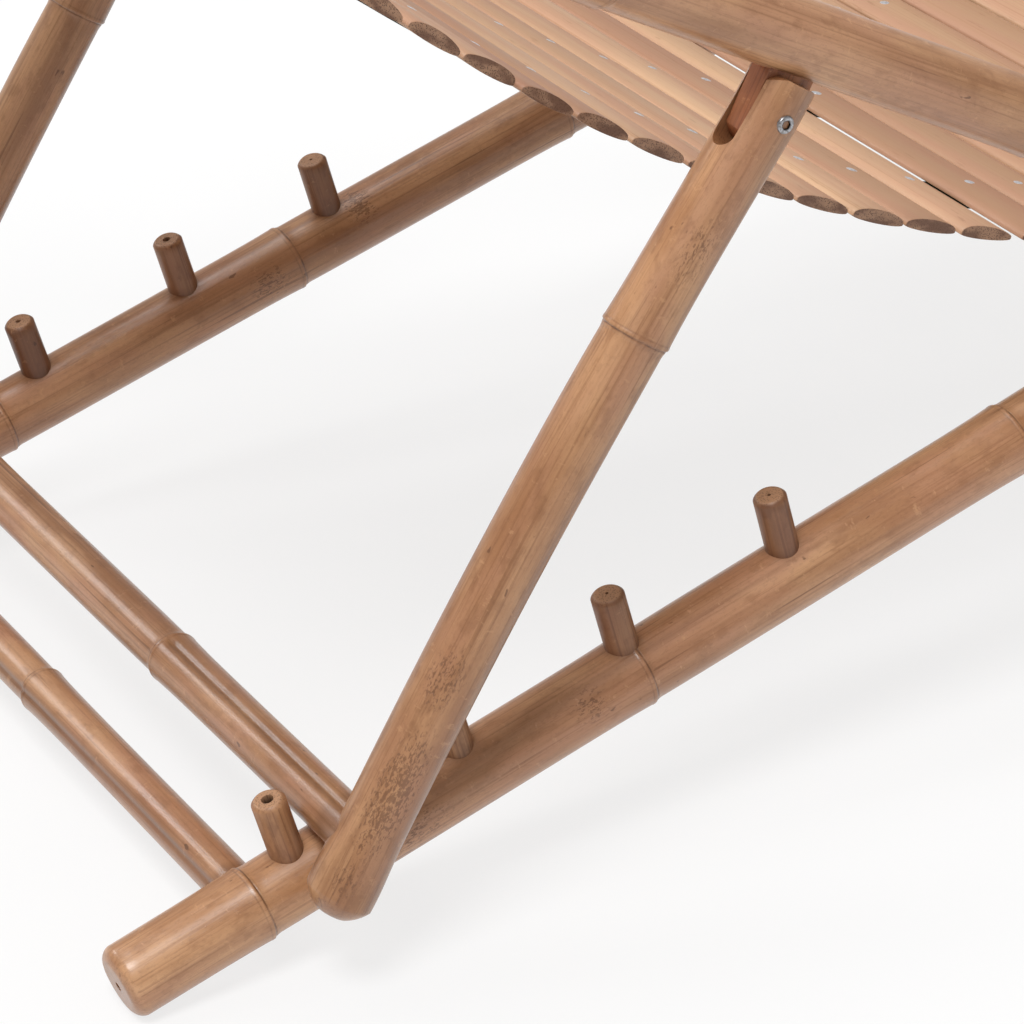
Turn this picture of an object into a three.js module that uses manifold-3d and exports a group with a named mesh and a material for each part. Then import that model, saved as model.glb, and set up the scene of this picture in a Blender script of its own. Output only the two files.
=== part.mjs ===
// Bamboo folding recliner: two pegged base rails, a sloping main frame, a prop
// frame that stands between the pegs, and a hanging mat of split slats on webbing.
// Millimetres, +Z up, +X towards the foot end, origin on the ground under the middle.
import * as THREE from 'three';
import { mergeVertices } from 'three/addons/utils/BufferGeometryUtils.js';
import Module from 'manifold-3d';

const wasm = await Module();
wasm.setup();

// Clearances, overrun and facet counts
const GAP = 0.3;
const COPE_CLEARANCE = 1.4;
const WRAP_CLEARANCE = 0.8;
const SIDE_CLEARANCE = 0.6;
const OVERRUN = 5;
const POLE_SIDES = 18;
const BAR_SIDES = 16;
const PEG_SIDES = 14;
const PIN_SIDES = 12;
const HEX_SIDES = 6;

// Stance
const PIVOT_HEIGHT = 239.5;
const RAIL_TILT = THREE.MathUtils.degToRad(15.73);
const POLE_SLOPE = THREE.MathUtils.degToRad(28);
const GROUND_FLAT_DEPTH = 3;

// Base rails
const RAIL_RADIUS = 20.2;
const RAIL_OFFSET = 245.6;
const RAIL_FRONT_ARM = 382;
const NEAR_RAIL_NODES = [0.0675, 0.2659, 0.4751, 0.6252, 0.821];
const FAR_RAIL_NODES = [0.149, 0.322, 0.49, 0.655, 0.84];
const REAR_RUNG_FROM_END = 80;
const FRONT_BAR_FROM_PIVOT = 344;

// Pegs
const PEG_COUNT = 4;
const PEG_PITCH = 105;
const FIRST_PEG_FROM_END = 107;
const PEG_RADIUS = 9.25;
const PEG_STAND = 35;
const PEG_SINK = 14;
const PEG_CHAMFER = 3;
const PEG_HOLE_RADIUS = 1.6;
const PEG_HOLE_DEPTH = 4;

// Main frame poles
const POLE_RADIUS = 19.5;
const HEAD_ARM = 978;
const POLE_NODE_SHARES = [0.053, 0.256, 0.459, 0.626, 0.812, 0.958];
const HEAD_BAR_FROM_END = 20;
const FOOT_BAR_FROM_END = 33;

// Prop frame
const BOLT_ALONG = 477.3;
const FORK_ROUND = 21.5;
const FORK_FLAT = 19.5;
const FORK_CLEARANCE = 0.7;
const LEG_RADIUS = 17.5;
const LEG_BOW = 7.2;
const LEG_BOW_STEPS = 7;
const NEAR_LEG_NODES = [0.036, 0.693];
const FAR_LEG_NODES = [0.036, 0.618];
const PROP_BAR_AHEAD_OF_PEG = 27;
const PROP_BAR_FROM_FOOT = 41;
const PROP_BAR_OFF_AXIS = 4.8;
const FORK_SLOT = 14.8;
const FORK_BELOW_BOLT = 24;

// Tongues and bolts
const TONGUE_THICKNESS = 14;
const TONGUE_WIDTH = 30;
const TONGUE_ROUND = 18.5;
const TONGUE_SINK = 5;
const PROP_BOLT_RADIUS = 4.7;
const PIVOT_BOLT_RADIUS = 4;
const BOLT_HEAD_RADIUS = 8;
const BOLT_HEAD_HEIGHT = 3;
const BOLT_STAND = 0.8;
const HEX_RADIUS = 2.4;
const HEX_DEPTH = 3;

// Cross bars and their round tenons
const CROSS_BARS = {
  rear_rung: { radius: 12.8, tenon: 8.5, node: -0.02 },
  front_bar: { radius: 14, tenon: 9.5, node: 0.33 },
  head_bar: { radius: 15, tenon: 10, node: 0.33 },
  foot_bar: { radius: 13, tenon: 9.5, node: 0.33 },
  prop_crossbar: { radius: 14.3, tenon: 9.5, node: -0.29 },
};
const TENON_PAST_AXIS = 7;

// Bamboo joints
const NODE_SWELL = 1.1;
const NODE_HALF_WIDTH = 2.2;
const NODE_SHOULDER = 7;
const END_CHAMFER = 3;
const PITH_RADIUS = 2.6;
const PITH_DEPTH = 6;

// Slats and webbing
const BACK_SLATS = 25;
const SEAT_SLATS = 8;
const SLAT_SPACING = 2.8;
const SLAT_THICKNESS = 8;
const SLAT_EDGE_LOW = 1.8;
const SLAT_EDGE_HIGH = 3.2;
const SLAT_END_CLEARANCE = 7.6;
const SLAT_ARC_STEPS = 5;
const WIDE_GAP_AFTER = 6;
const WIDE_GAP_EXTRA = 5.6;
const MAT_SPLIT = 14;
const BACK_MAT_MARGIN = 2;
const SEAT_MAT_MARGIN = 11;
const MAT_LOW_POINT = 23;
const MAT_DROP = 4.2;
const WEB_WIDTH = 38;
const WEB_THICKNESS = 1.2;
const WEB_OFFSET = 143;
const WEB_WRAP_STEPS = 12;
const WEB_WRAP_ANGLE = THREE.MathUtils.degToRad(285);

// Finishes
const finish = (color, roughness, metalness = 0) =>
  new THREE.MeshStandardMaterial({ color, roughness, metalness });
const POLE_FINISH = finish(0xbe8f62, 0.45);
const BAR_FINISH = finish(0xc29468, 0.5);
const SLAT_FINISH = finish(0xcfa178, 0.5);
const TONGUE_FINISH = finish(0x965a3c, 0.6);
const METAL_FINISH = finish(0x9a9a98, 0.35, 1);
const WEB_FINISH = finish(0x2c3b2e, 0.9);

// Derived lengths
const RAIL_REAR_ARM =
  (PIVOT_HEIGHT + GROUND_FLAT_DEPTH - RAIL_RADIUS * Math.cos(RAIL_TILT)) / Math.sin(RAIL_TILT);
const FOOT_ARM =
  (PIVOT_HEIGHT + GROUND_FLAT_DEPTH - POLE_RADIUS * Math.cos(POLE_SLOPE)) / Math.sin(POLE_SLOPE);
const POLE_OFFSET = RAIL_OFFSET + RAIL_RADIUS + POLE_RADIUS + SIDE_CLEARANCE;
const POLE_UNDER_FORK = Math.sqrt(POLE_RADIUS ** 2 - (FORK_SLOT / 2) ** 2);
const BOLT_BELOW = POLE_UNDER_FORK + FORK_ROUND + FORK_CLEARANCE;

// The prop, in the X-Z plane with the pivot as its origin: its bolt hangs from the
// pole, its crossbar lies on the rails, and the legs reach from one to the other
const Y_AXIS = new THREE.Vector3(0, 1, 0);
const PROP_BOLT = new THREE.Vector3(-BOLT_ALONG, 0, -BOLT_BELOW)
  .applyAxisAngle(Y_AXIS, POLE_SLOPE);
const PROP_BAR = new THREE.Vector3(
  pegX(0) + PROP_BAR_AHEAD_OF_PEG, 0, RAIL_RADIUS + CROSS_BARS.prop_crossbar.radius + GAP)
  .applyAxisAngle(Y_AXIS, -RAIL_TILT);
const PROP_SPAN = PROP_BOLT.distanceTo(PROP_BAR);
const PROP_BAR_REACH = Math.sqrt(PROP_SPAN ** 2 - PROP_BAR_OFF_AXIS ** 2);
const LEG_LENGTH = PROP_BAR_REACH + PROP_BAR_FROM_FOOT;
const LEG_TILT = Math.atan2(PROP_BOLT.z - PROP_BAR.z, PROP_BOLT.x - PROP_BAR.x)
  + Math.asin(PROP_BAR_OFF_AXIS / PROP_SPAN);
const LEG_BOW_AT_BAR = LEG_BOW * Math.sin(Math.PI * PROP_BAR_FROM_FOOT / LEG_LENGTH);
const LEG_TURN = LEG_TILT + POLE_SLOPE;
const SLAT_HALF_LENGTH = RAIL_OFFSET - RAIL_RADIUS - SLAT_END_CLEARANCE;

// Turns a geometry into a solid: only positions, shared vertices merged.
function solid(geometry) {
  const plain = geometry.clone();
  plain.deleteAttribute('normal');
  plain.deleteAttribute('uv');
  const merged = mergeVertices(plain, 1e-4);
  return new wasm.Manifold(new wasm.Mesh({
    numProp: 3,
    vertProperties: new Float32Array(merged.attributes.position.array),
    triVerts: new Uint32Array(merged.index.array),
  }));
}

// Turns a solid back into a flat-shaded geometry.
function geometryOf(body) {
  const mesh = body.getMesh();
  const geometry = new THREE.BufferGeometry();
  geometry.setAttribute('position', new THREE.BufferAttribute(mesh.vertProperties, 3));
  geometry.setIndex(new THREE.BufferAttribute(mesh.triVerts, 1));
  const faceted = geometry.toNonIndexed();
  faceted.computeVertexNormals();
  return faceted;
}

function piece(name, geometry, material) {
  const mesh = new THREE.Mesh(geometry, material);
  mesh.name = name;
  return mesh;
}

// Profile of a bamboo culm from x = 0 to x = length: chamfered ends, a pith
// hollow in each end, and a swollen ring at every node.
function culmProfile(length, radius, nodeShares) {
  const points = [
    [0, PITH_DEPTH],
    [PITH_RADIUS, PITH_DEPTH],
    [PITH_RADIUS, 0],
    [radius - END_CHAMFER, 0],
    [radius, END_CHAMFER],
  ];
  for (const share of nodeShares) {
    const at = share * length;
    points.push([radius, at - NODE_SHOULDER]);
    points.push([radius + NODE_SWELL, at - NODE_HALF_WIDTH]);
    points.push([radius + NODE_SWELL, at + NODE_HALF_WIDTH]);
    points.push([radius, at + NODE_SHOULDER]);
  }
  points.push([radius, length - END_CHAMFER]);
  points.push([radius - END_CHAMFER, length]);
  points.push([PITH_RADIUS, length]);
  points.push([PITH_RADIUS, length - PITH_DEPTH]);
  points.push([0, length - PITH_DEPTH]);
  return points.map(([r, y]) => new THREE.Vector2(r, y));
}

// A culm along +X, its start at x = start.
function culm(start, length, radius, nodeShares, bow = 0) {
  let profile = culmProfile(length, radius, nodeShares);
  if (bow) {
    profile = stepped(profile, length / LEG_BOW_STEPS);
  }
  const geometry = new THREE.LatheGeometry(profile, POLE_SIDES);
  geometry.rotateZ(-Math.PI / 2);
  geometry.translate(start, 0, 0);
  if (bow) {
    const place = geometry.attributes.position;
    for (let i = 0; i < place.count; i += 1) {
      const share = Math.min(1, (place.getX(i) - start) / -start);
      place.setZ(i, place.getZ(i) + bow * Math.sin(Math.PI * share));
    }
  }
  return solid(geometry);
}

// The same profile with its long straight runs cut into shorter ones.
function stepped(profile, longest) {
  const points = [profile[0]];
  for (let i = 1; i < profile.length; i += 1) {
    const from = profile[i - 1];
    const steps = Math.ceil(Math.abs(profile[i].y - from.y) / longest);
    for (let k = 1; k < steps; k += 1) {
      points.push(from.clone().lerp(profile[i], k / steps));
    }
    points.push(profile[i]);
  }
  return points;
}

// A plain round bar along Y, centred on (x, z).
function barAcross(radius, width, x, z, sides, y = 0) {
  const geometry = new THREE.CylinderGeometry(radius, radius, width, sides);
  geometry.translate(x, y, z);
  return solid(geometry);
}

// A plain round bar along X, centred on (y, z).
function barAlong(radius, from, to, y) {
  const geometry = new THREE.CylinderGeometry(radius, radius, to - from, POLE_SIDES);
  geometry.rotateZ(Math.PI / 2);
  geometry.translate((from + to) / 2, y, 0);
  return solid(geometry);
}

function block(width, depth, height, x, y, z) {
  const geometry = new THREE.BoxGeometry(width, depth, height);
  geometry.translate(x, y, z);
  return solid(geometry);
}

// The part of the ground that a culm end is trimmed by, in the culm's own frame,
// which is turned by `turn` about Y at the pivot.
function groundBelow(length, radius, turn) {
  const geometry = new THREE.BoxGeometry(length, radius * 4, radius * 2);
  geometry.translate(0, 0, -PIVOT_HEIGHT - radius);
  geometry.rotateY(-turn);
  return solid(geometry);
}

// Hole for a cross bar's tenon in a pole at the frame's side.
function tenonHole(bar, hostRadius, x, z, side) {
  const reach = TENON_PAST_AXIS + GAP + hostRadius + OVERRUN;
  const centre = side * (TENON_PAST_AXIS + GAP - reach / 2);
  return barAcross(bar.tenon + GAP, reach, x, z, BAR_SIDES, centre);
}

// A cross bar between two poles: coped ends that hug the poles, and round tenons.
function crossBar(bar, hostOffset, hostRadius, hostShift) {
  let body = barAcross(bar.radius, hostOffset * 2, 0, 0, BAR_SIDES);
  const swell = new THREE.CylinderGeometry(
    bar.radius + NODE_SWELL, bar.radius + NODE_SWELL, NODE_HALF_WIDTH * 2, BAR_SIDES);
  swell.translate(0, hostOffset * bar.node, 0);
  body = body.add(solid(swell));
  const tenon = barAcross(bar.tenon, (hostOffset + TENON_PAST_AXIS) * 2, 0, 0, BAR_SIDES);
  for (const side of [-1, 1]) {
    const host = new THREE.CylinderGeometry(
      hostRadius + COPE_CLEARANCE, hostRadius + COPE_CLEARANCE, hostRadius * 4, POLE_SIDES);
    host.rotateZ(Math.PI / 2);
    host.translate(0, side * hostOffset, -hostShift);
    body = body.subtract(solid(host));
  }
  const past = block(hostRadius * 4, hostRadius * 2, hostRadius * 4, 0, 0, 0);
  for (const side of [-1, 1]) {
    body = body.subtract(past.translate([0, side * (hostOffset + hostRadius), 0]));
  }
  return geometryOf(body.add(tenon));
}

// Base rail in the base frame: pivot at the origin, +X up to the front.
function rail(side) {
  const length = RAIL_REAR_ARM + RAIL_FRONT_ARM;
  let body = culm(
    -RAIL_REAR_ARM, length, RAIL_RADIUS, side < 0 ? NEAR_RAIL_NODES : FAR_RAIL_NODES);
  body = body.subtract(groundBelow(length * 2, RAIL_RADIUS, -RAIL_TILT));
  for (let i = 0; i < PEG_COUNT; i += 1) {
    body = body.add(peg(i));
  }
  body = body.subtract(
    tenonHole(CROSS_BARS.rear_rung, RAIL_RADIUS, REAR_RUNG_FROM_END - RAIL_REAR_ARM, 0, side));
  body = body.subtract(
    tenonHole(CROSS_BARS.front_bar, RAIL_RADIUS, FRONT_BAR_FROM_PIVOT, 0, side));
  body = body.subtract(
    barAcross(PIVOT_BOLT_RADIUS + GAP, RAIL_RADIUS * 3, 0, 0, PIN_SIDES));
  return geometryOf(body);
}

function pegX(i) {
  return FIRST_PEG_FROM_END + i * PEG_PITCH - RAIL_REAR_ARM;
}

// A peg glued into the rail: chamfered top with a small centre hole.
function peg(i) {
  const foot = RAIL_RADIUS - PEG_SINK;
  const top = RAIL_RADIUS + PEG_STAND;
  const profile = [
    [0, foot],
    [PEG_RADIUS, foot],
    [PEG_RADIUS, top - PEG_CHAMFER],
    [PEG_RADIUS - PEG_CHAMFER, top],
    [PEG_HOLE_RADIUS, top],
    [PEG_HOLE_RADIUS, top - PEG_HOLE_DEPTH],
    [0, top - PEG_HOLE_DEPTH],
  ].map(([r, y]) => new THREE.Vector2(r, y));
  const turned = new THREE.LatheGeometry(profile, PEG_SIDES);
  turned.rotateX(Math.PI / 2);
  turned.translate(pegX(i), 0, 0);
  return solid(turned);
}

// Main pole in the main frame: pivot at the origin, +X down to the foot.
function mainPole(side) {
  const length = HEAD_ARM + FOOT_ARM;
  let body = culm(-HEAD_ARM, length, POLE_RADIUS, POLE_NODE_SHARES);
  body = body.subtract(groundBelow(length * 2, POLE_RADIUS, POLE_SLOPE));
  body = body.subtract(
    tenonHole(CROSS_BARS.head_bar, POLE_RADIUS, HEAD_BAR_FROM_END - HEAD_ARM, 0, side));
  body = body.subtract(
    tenonHole(CROSS_BARS.foot_bar, POLE_RADIUS, FOOT_ARM - FOOT_BAR_FROM_END, 0, side));
  body = body.subtract(
    barAcross(PIVOT_BOLT_RADIUS + GAP, POLE_RADIUS * 3, 0, 0, PIN_SIDES));
  const depth = POLE_RADIUS + TONGUE_SINK + GAP + OVERRUN;
  body = body.subtract(block(
    TONGUE_WIDTH + GAP * 2, TONGUE_THICKNESS + GAP * 2, depth,
    -BOLT_ALONG, 0, TONGUE_SINK + GAP - depth / 2));
  return geometryOf(body);
}

// Wooden tongue: bolt at the origin, shank along +Z up into the pole's mortise.
function tongue() {
  const half = TONGUE_WIDTH / 2;
  const outline = new THREE.Shape();
  outline.moveTo(half, 0);
  outline.lineTo(half, BOLT_BELOW + TONGUE_SINK);
  outline.lineTo(-half, BOLT_BELOW + TONGUE_SINK);
  const corner = Math.acos(half / TONGUE_ROUND);
  outline.lineTo(-half, -TONGUE_ROUND * Math.sin(corner));
  outline.absarc(0, 0, TONGUE_ROUND, Math.PI + corner, Math.PI * 2 - corner, false);
  const geometry = new THREE.ExtrudeGeometry(outline, {
    depth: TONGUE_THICKNESS, bevelEnabled: false, curveSegments: BAR_SIDES,
  });
  geometry.rotateX(Math.PI / 2);
  geometry.translate(0, TONGUE_THICKNESS / 2, 0);
  const body = solid(geometry).subtract(
    barAcross(PROP_BOLT_RADIUS + GAP, TONGUE_THICKNESS * 2, 0, 0, PIN_SIDES));
  return geometryOf(body);
}

// Prop leg: bolt at the origin, +X up the leg; forked top with a round-bottomed
// slot and ears cut flat with corners rounded about the bolt, swollen foot and a
// node part way up.
function propLeg(side) {
  const nodes = side < 0 ? NEAR_LEG_NODES : FAR_LEG_NODES;
  let body = culm(-LEG_LENGTH, LEG_LENGTH + FORK_ROUND, LEG_RADIUS, nodes, LEG_BOW);
  const width = LEG_RADIUS * 4;
  const crown = block(FORK_ROUND * 2, width, width, FORK_ROUND, 0, 0)
    .subtract(barAcross(FORK_ROUND, width * 2, 0, 0, POLE_SIDES * 2));
  body = body.subtract(crown);
  body = body.subtract(block(FORK_ROUND, width, width, FORK_FLAT + FORK_ROUND / 2, 0, 0));
  const slotEnd = -FORK_BELOW_BOLT + FORK_SLOT / 2;
  const slotTop = FORK_ROUND + OVERRUN;
  body = body.subtract(
    block(slotTop - slotEnd, FORK_SLOT, width, (slotTop + slotEnd) / 2, 0, 0));
  const bottom = new THREE.CylinderGeometry(FORK_SLOT / 2, FORK_SLOT / 2, width, BAR_SIDES);
  bottom.rotateX(Math.PI / 2);
  bottom.translate(slotEnd, 0, 0);
  body = body.subtract(solid(bottom));
  body = body.subtract(
    tenonHole(CROSS_BARS.prop_crossbar, LEG_RADIUS, -PROP_BAR_REACH, PROP_BAR_OFF_AXIS, side));
  body = body.subtract(
    barAcross(PROP_BOLT_RADIUS + GAP, LEG_RADIUS * 4, 0, 0, PIN_SIDES));
  return geometryOf(body);
}

// Barrel bolt across a fork, a hexagon socket in both ends.
function propBolt() {
  const half = LEG_RADIUS + BOLT_STAND;
  let body = barAcross(PROP_BOLT_RADIUS, half * 2, 0, 0, PIN_SIDES);
  for (const end of [-half, half]) {
    body = body.subtract(barAcross(HEX_RADIUS, HEX_DEPTH * 2, 0, 0, HEX_SIDES, end));
  }
  return geometryOf(body);
}

// Pivot bolt through a rail and a pole, a round head at each end.
function pivotBolt(side) {
  const inner = -RAIL_RADIUS - GAP;
  const outer = POLE_OFFSET - RAIL_OFFSET + POLE_RADIUS + GAP;
  let body = barAcross(
    PIVOT_BOLT_RADIUS, outer - inner + BOLT_HEAD_HEIGHT, 0, 0, PIN_SIDES,
    side * (outer + inner) / 2);
  for (const at of [inner - BOLT_HEAD_HEIGHT / 2, outer + BOLT_HEAD_HEIGHT / 2]) {
    body = body.add(
      barAcross(BOLT_HEAD_RADIUS, BOLT_HEAD_HEIGHT, 0, 0, BAR_SIDES, side * at));
  }
  return geometryOf(body);
}

// One half of the hanging mat's side line, in the X-Z plane with the pivot as its
// origin: a parabola from the low point to where the webbing touches a bar.
function hangingLine(barX, barZ, barRadius) {
  const direction = Math.sign(barX - MAT_LOW_POINT);
  const lowZ = -MAT_DROP;
  const reach = barRadius + WRAP_CLEARANCE + WEB_THICKNESS;
  let angle = Math.PI / 4;
  let touchX = barX;
  let touchZ = barZ;
  for (let i = 0; i < 40; i += 1) {
    touchX = barX - direction * reach * Math.sin(angle);
    touchZ = barZ + reach * Math.cos(angle);
    angle = Math.atan2(2 * (touchZ - lowZ), Math.abs(touchX - MAT_LOW_POINT));
  }
  const bend = (touchZ - lowZ) / (touchX - MAT_LOW_POINT) ** 2;
  const height = (x) => lowZ + bend * (x - MAT_LOW_POINT) ** 2;
  const slope = (x) => 2 * bend * (x - MAT_LOW_POINT);
  return { direction, height, slope, touchX, touchZ, barX, barZ, reach };
}

// X after moving `arc` along the line from x, away from the split.
function alongLine(line, x, arc) {
  const steps = 24;
  let at = x;
  for (let i = 0; i < steps; i += 1) {
    at += line.direction * (arc / steps) / Math.hypot(1, line.slope(at));
  }
  return at;
}

// Length of the line from the split to the bar.
function lengthOf(line) {
  const steps = 400;
  const step = (line.touchX - MAT_SPLIT) / steps;
  let length = 0;
  for (let i = 0; i < steps; i += 1) {
    length += Math.abs(step) * Math.hypot(1, line.slope(MAT_SPLIT + (i + 0.5) * step));
  }
  return length;
}

// Where each slat of one half sits: its middle and its tilt.
function slatSeats(line, count, pitch) {
  const seats = [];
  let edge = MAT_SPLIT;
  for (let i = 0; i < count; i += 1) {
    if (i === WIDE_GAP_AFTER && line.direction < 0) {
      edge = alongLine(line, edge, WIDE_GAP_EXTRA);
    }
    const middle = alongLine(line, edge, pitch / 2);
    seats.push({ x: middle, z: line.height(middle), turn: Math.atan(line.slope(middle)) });
    edge = alongLine(line, edge, pitch);
  }
  return seats;
}

// A split slat of half-round section, its lowest line at z = 0: crowned on top, nearly
// flat below, with thin edges.
function slat(width) {
  const half = width / 2;
  const outline = new THREE.Shape();
  outline.moveTo(-half, SLAT_EDGE_LOW);
  for (let i = 1; i < SLAT_ARC_STEPS; i += 1) {
    const t = Math.PI * i / SLAT_ARC_STEPS;
    outline.lineTo(-half * Math.cos(t), SLAT_EDGE_LOW * (1 - Math.sin(t)));
  }
  outline.lineTo(half, SLAT_EDGE_LOW);
  outline.lineTo(half, SLAT_EDGE_HIGH);
  for (let i = 1; i < SLAT_ARC_STEPS; i += 1) {
    const t = Math.PI * i / SLAT_ARC_STEPS;
    outline.lineTo(half * Math.cos(t),
      SLAT_EDGE_HIGH + (SLAT_THICKNESS - SLAT_EDGE_HIGH) * Math.sin(t));
  }
  outline.lineTo(-half, SLAT_EDGE_HIGH);
  const geometry = new THREE.ExtrudeGeometry(outline, {
    depth: SLAT_HALF_LENGTH * 2, bevelEnabled: false,
  });
  geometry.translate(0, 0, -SLAT_HALF_LENGTH);
  geometry.rotateX(Math.PI / 2);
  return geometry;
}

// A webbing band: it runs flat under the slats, then wraps round the bar.
function webbing(line, seats, width) {
  const upper = [];
  const lower = [];
  const put = (x, z, nx, nz) => {
    upper.push(new THREE.Vector2(x, z));
    lower.push(new THREE.Vector2(x - nx * WEB_THICKNESS, z - nz * WEB_THICKNESS));
  };
  const half = width / 2;
  for (const seat of seats) {
    const along = [Math.cos(seat.turn), Math.sin(seat.turn)];
    const normal = [-along[1], along[0]];
    for (const end of [-line.direction * half, line.direction * half]) {
      put(seat.x + along[0] * end - normal[0] * GAP,
        seat.z + along[1] * end - normal[1] * GAP, normal[0], normal[1]);
    }
  }
  const start = Math.atan2(line.touchZ - line.barZ, line.touchX - line.barX);
  for (let i = 0; i <= WEB_WRAP_STEPS; i += 1) {
    const t = start - line.direction * WEB_WRAP_ANGLE * i / WEB_WRAP_STEPS;
    const reach = line.reach;
    put(line.barX + reach * Math.cos(t), line.barZ + reach * Math.sin(t),
      Math.cos(t), Math.sin(t));
  }
  const outline = new THREE.Shape([...upper, ...lower.reverse()]);
  const geometry = new THREE.ExtrudeGeometry(outline, {
    depth: WEB_WIDTH, bevelEnabled: false,
  });
  geometry.translate(0, 0, -WEB_WIDTH / 2);
  geometry.rotateX(Math.PI / 2);
  return geometry;
}

const root = new THREE.Group();
const pivot = new THREE.Group();
pivot.position.z = PIVOT_HEIGHT;
root.add(pivot);

// Base frame
const base = new THREE.Group();
base.rotation.y = -RAIL_TILT;
pivot.add(base);
for (const [label, side] of [['near', -1], ['far', 1]]) {
  const parts = [
    piece(`${label}_base_rail`, rail(side), POLE_FINISH),
    piece(`${label}_pivot_bolt`, pivotBolt(side), METAL_FINISH),
  ];
  for (const part of parts) {
    part.position.y = side * RAIL_OFFSET;
    base.add(part);
  }
}
const rung = piece('rear_rung',
  crossBar(CROSS_BARS.rear_rung, RAIL_OFFSET, RAIL_RADIUS, 0), BAR_FINISH);
rung.position.x = REAR_RUNG_FROM_END - RAIL_REAR_ARM;
base.add(rung);
const frontBar = piece('front_bar',
  crossBar(CROSS_BARS.front_bar, RAIL_OFFSET, RAIL_RADIUS, 0), BAR_FINISH);
frontBar.position.x = FRONT_BAR_FROM_PIVOT;
base.add(frontBar);

// Main frame
const main = new THREE.Group();
main.rotation.y = POLE_SLOPE;
pivot.add(main);
for (const [label, side] of [['near', -1], ['far', 1]]) {
  const pole = piece(`${label}_main_pole`, mainPole(side), POLE_FINISH);
  pole.position.y = side * POLE_OFFSET;
  main.add(pole);
  const plate = piece(`${label}_tongue`, tongue(), TONGUE_FINISH);
  plate.position.set(-BOLT_ALONG, side * POLE_OFFSET, -BOLT_BELOW);
  main.add(plate);
}
const headBar = piece('head_bar',
  crossBar(CROSS_BARS.head_bar, POLE_OFFSET, POLE_RADIUS, 0), BAR_FINISH);
headBar.position.x = HEAD_BAR_FROM_END - HEAD_ARM;
main.add(headBar);
const footBar = piece('foot_bar',
  crossBar(CROSS_BARS.foot_bar, POLE_OFFSET, POLE_RADIUS, 0), BAR_FINISH);
footBar.position.x = FOOT_ARM - FOOT_BAR_FROM_END;
main.add(footBar);

// Prop frame: its cross bar rests on the rails just in front of the first pegs
const prop = new THREE.Group();
prop.position.set(-BOLT_ALONG, 0, -BOLT_BELOW);
prop.rotation.y = -LEG_TURN;
main.add(prop);
for (const [label, side] of [['near', -1], ['far', 1]]) {
  const leg = piece(`${label}_prop_leg`, propLeg(side), POLE_FINISH);
  leg.position.y = side * POLE_OFFSET;
  prop.add(leg);
  const bolt = piece(`${label}_prop_bolt`, propBolt(), METAL_FINISH);
  bolt.position.y = side * POLE_OFFSET;
  prop.add(bolt);
}
const propBar = piece('prop_crossbar',
  crossBar(CROSS_BARS.prop_crossbar, POLE_OFFSET, LEG_RADIUS,
    PROP_BAR_OFF_AXIS - LEG_BOW_AT_BAR), BAR_FINISH);
propBar.position.set(-PROP_BAR_REACH, 0, PROP_BAR_OFF_AXIS);
prop.add(propBar);

// Mat: the back half hangs from the head bar, the seat half from the front bar
const headX = (HEAD_BAR_FROM_END - HEAD_ARM) * Math.cos(POLE_SLOPE);
const headZ = (HEAD_ARM - HEAD_BAR_FROM_END) * Math.sin(POLE_SLOPE);
const frontX = FRONT_BAR_FROM_PIVOT * Math.cos(RAIL_TILT);
const frontZ = FRONT_BAR_FROM_PIVOT * Math.sin(RAIL_TILT);
const halves = [
  {
    label: 'back',
    count: BACK_SLATS,
    line: hangingLine(headX, headZ, CROSS_BARS.head_bar.radius),
    spare: BACK_MAT_MARGIN + WIDE_GAP_EXTRA,
  },
  {
    label: 'seat',
    count: SEAT_SLATS,
    line: hangingLine(frontX, frontZ, CROSS_BARS.front_bar.radius),
    spare: SEAT_MAT_MARGIN,
  },
];
for (const { label, count, line, spare } of halves) {
  const pitch = (lengthOf(line) - spare) / count;
  const width = pitch - SLAT_SPACING;
  const seats = slatSeats(line, count, pitch);
  console.log(label, 'mat length', lengthOf(line), 'slat pitch', pitch);
  seats.forEach((seat, i) => {
    const one = piece(`${label}_slat_${i + 1}`, slat(width), SLAT_FINISH);
    one.position.set(seat.x, 0, seat.z);
    one.rotation.y = -seat.turn;
    pivot.add(one);
  });
  for (const [place, offset] of [['near', -WEB_OFFSET], ['middle', 0], ['far', WEB_OFFSET]]) {
    const band = piece(
      `${label}_webbing_${place}`, webbing(line, seats, width), WEB_FINISH);
    band.position.y = offset;
    pivot.add(band);
  }
}

// Bring the middle of the whole over the origin
root.updateMatrixWorld(true);
const bounds = new THREE.Box3().setFromObject(root, true);
root.position.x = -(bounds.min.x + bounds.max.x) / 2;
console.log('length', bounds.max.x - bounds.min.x, 'height', bounds.max.z);

export default root;
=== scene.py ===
"""Looks of the bamboo folding recliner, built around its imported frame."""

import logging
import math
from dataclasses import dataclass, field
from enum import Enum
from typing import Dict, List, Sequence, Tuple, Union

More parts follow.
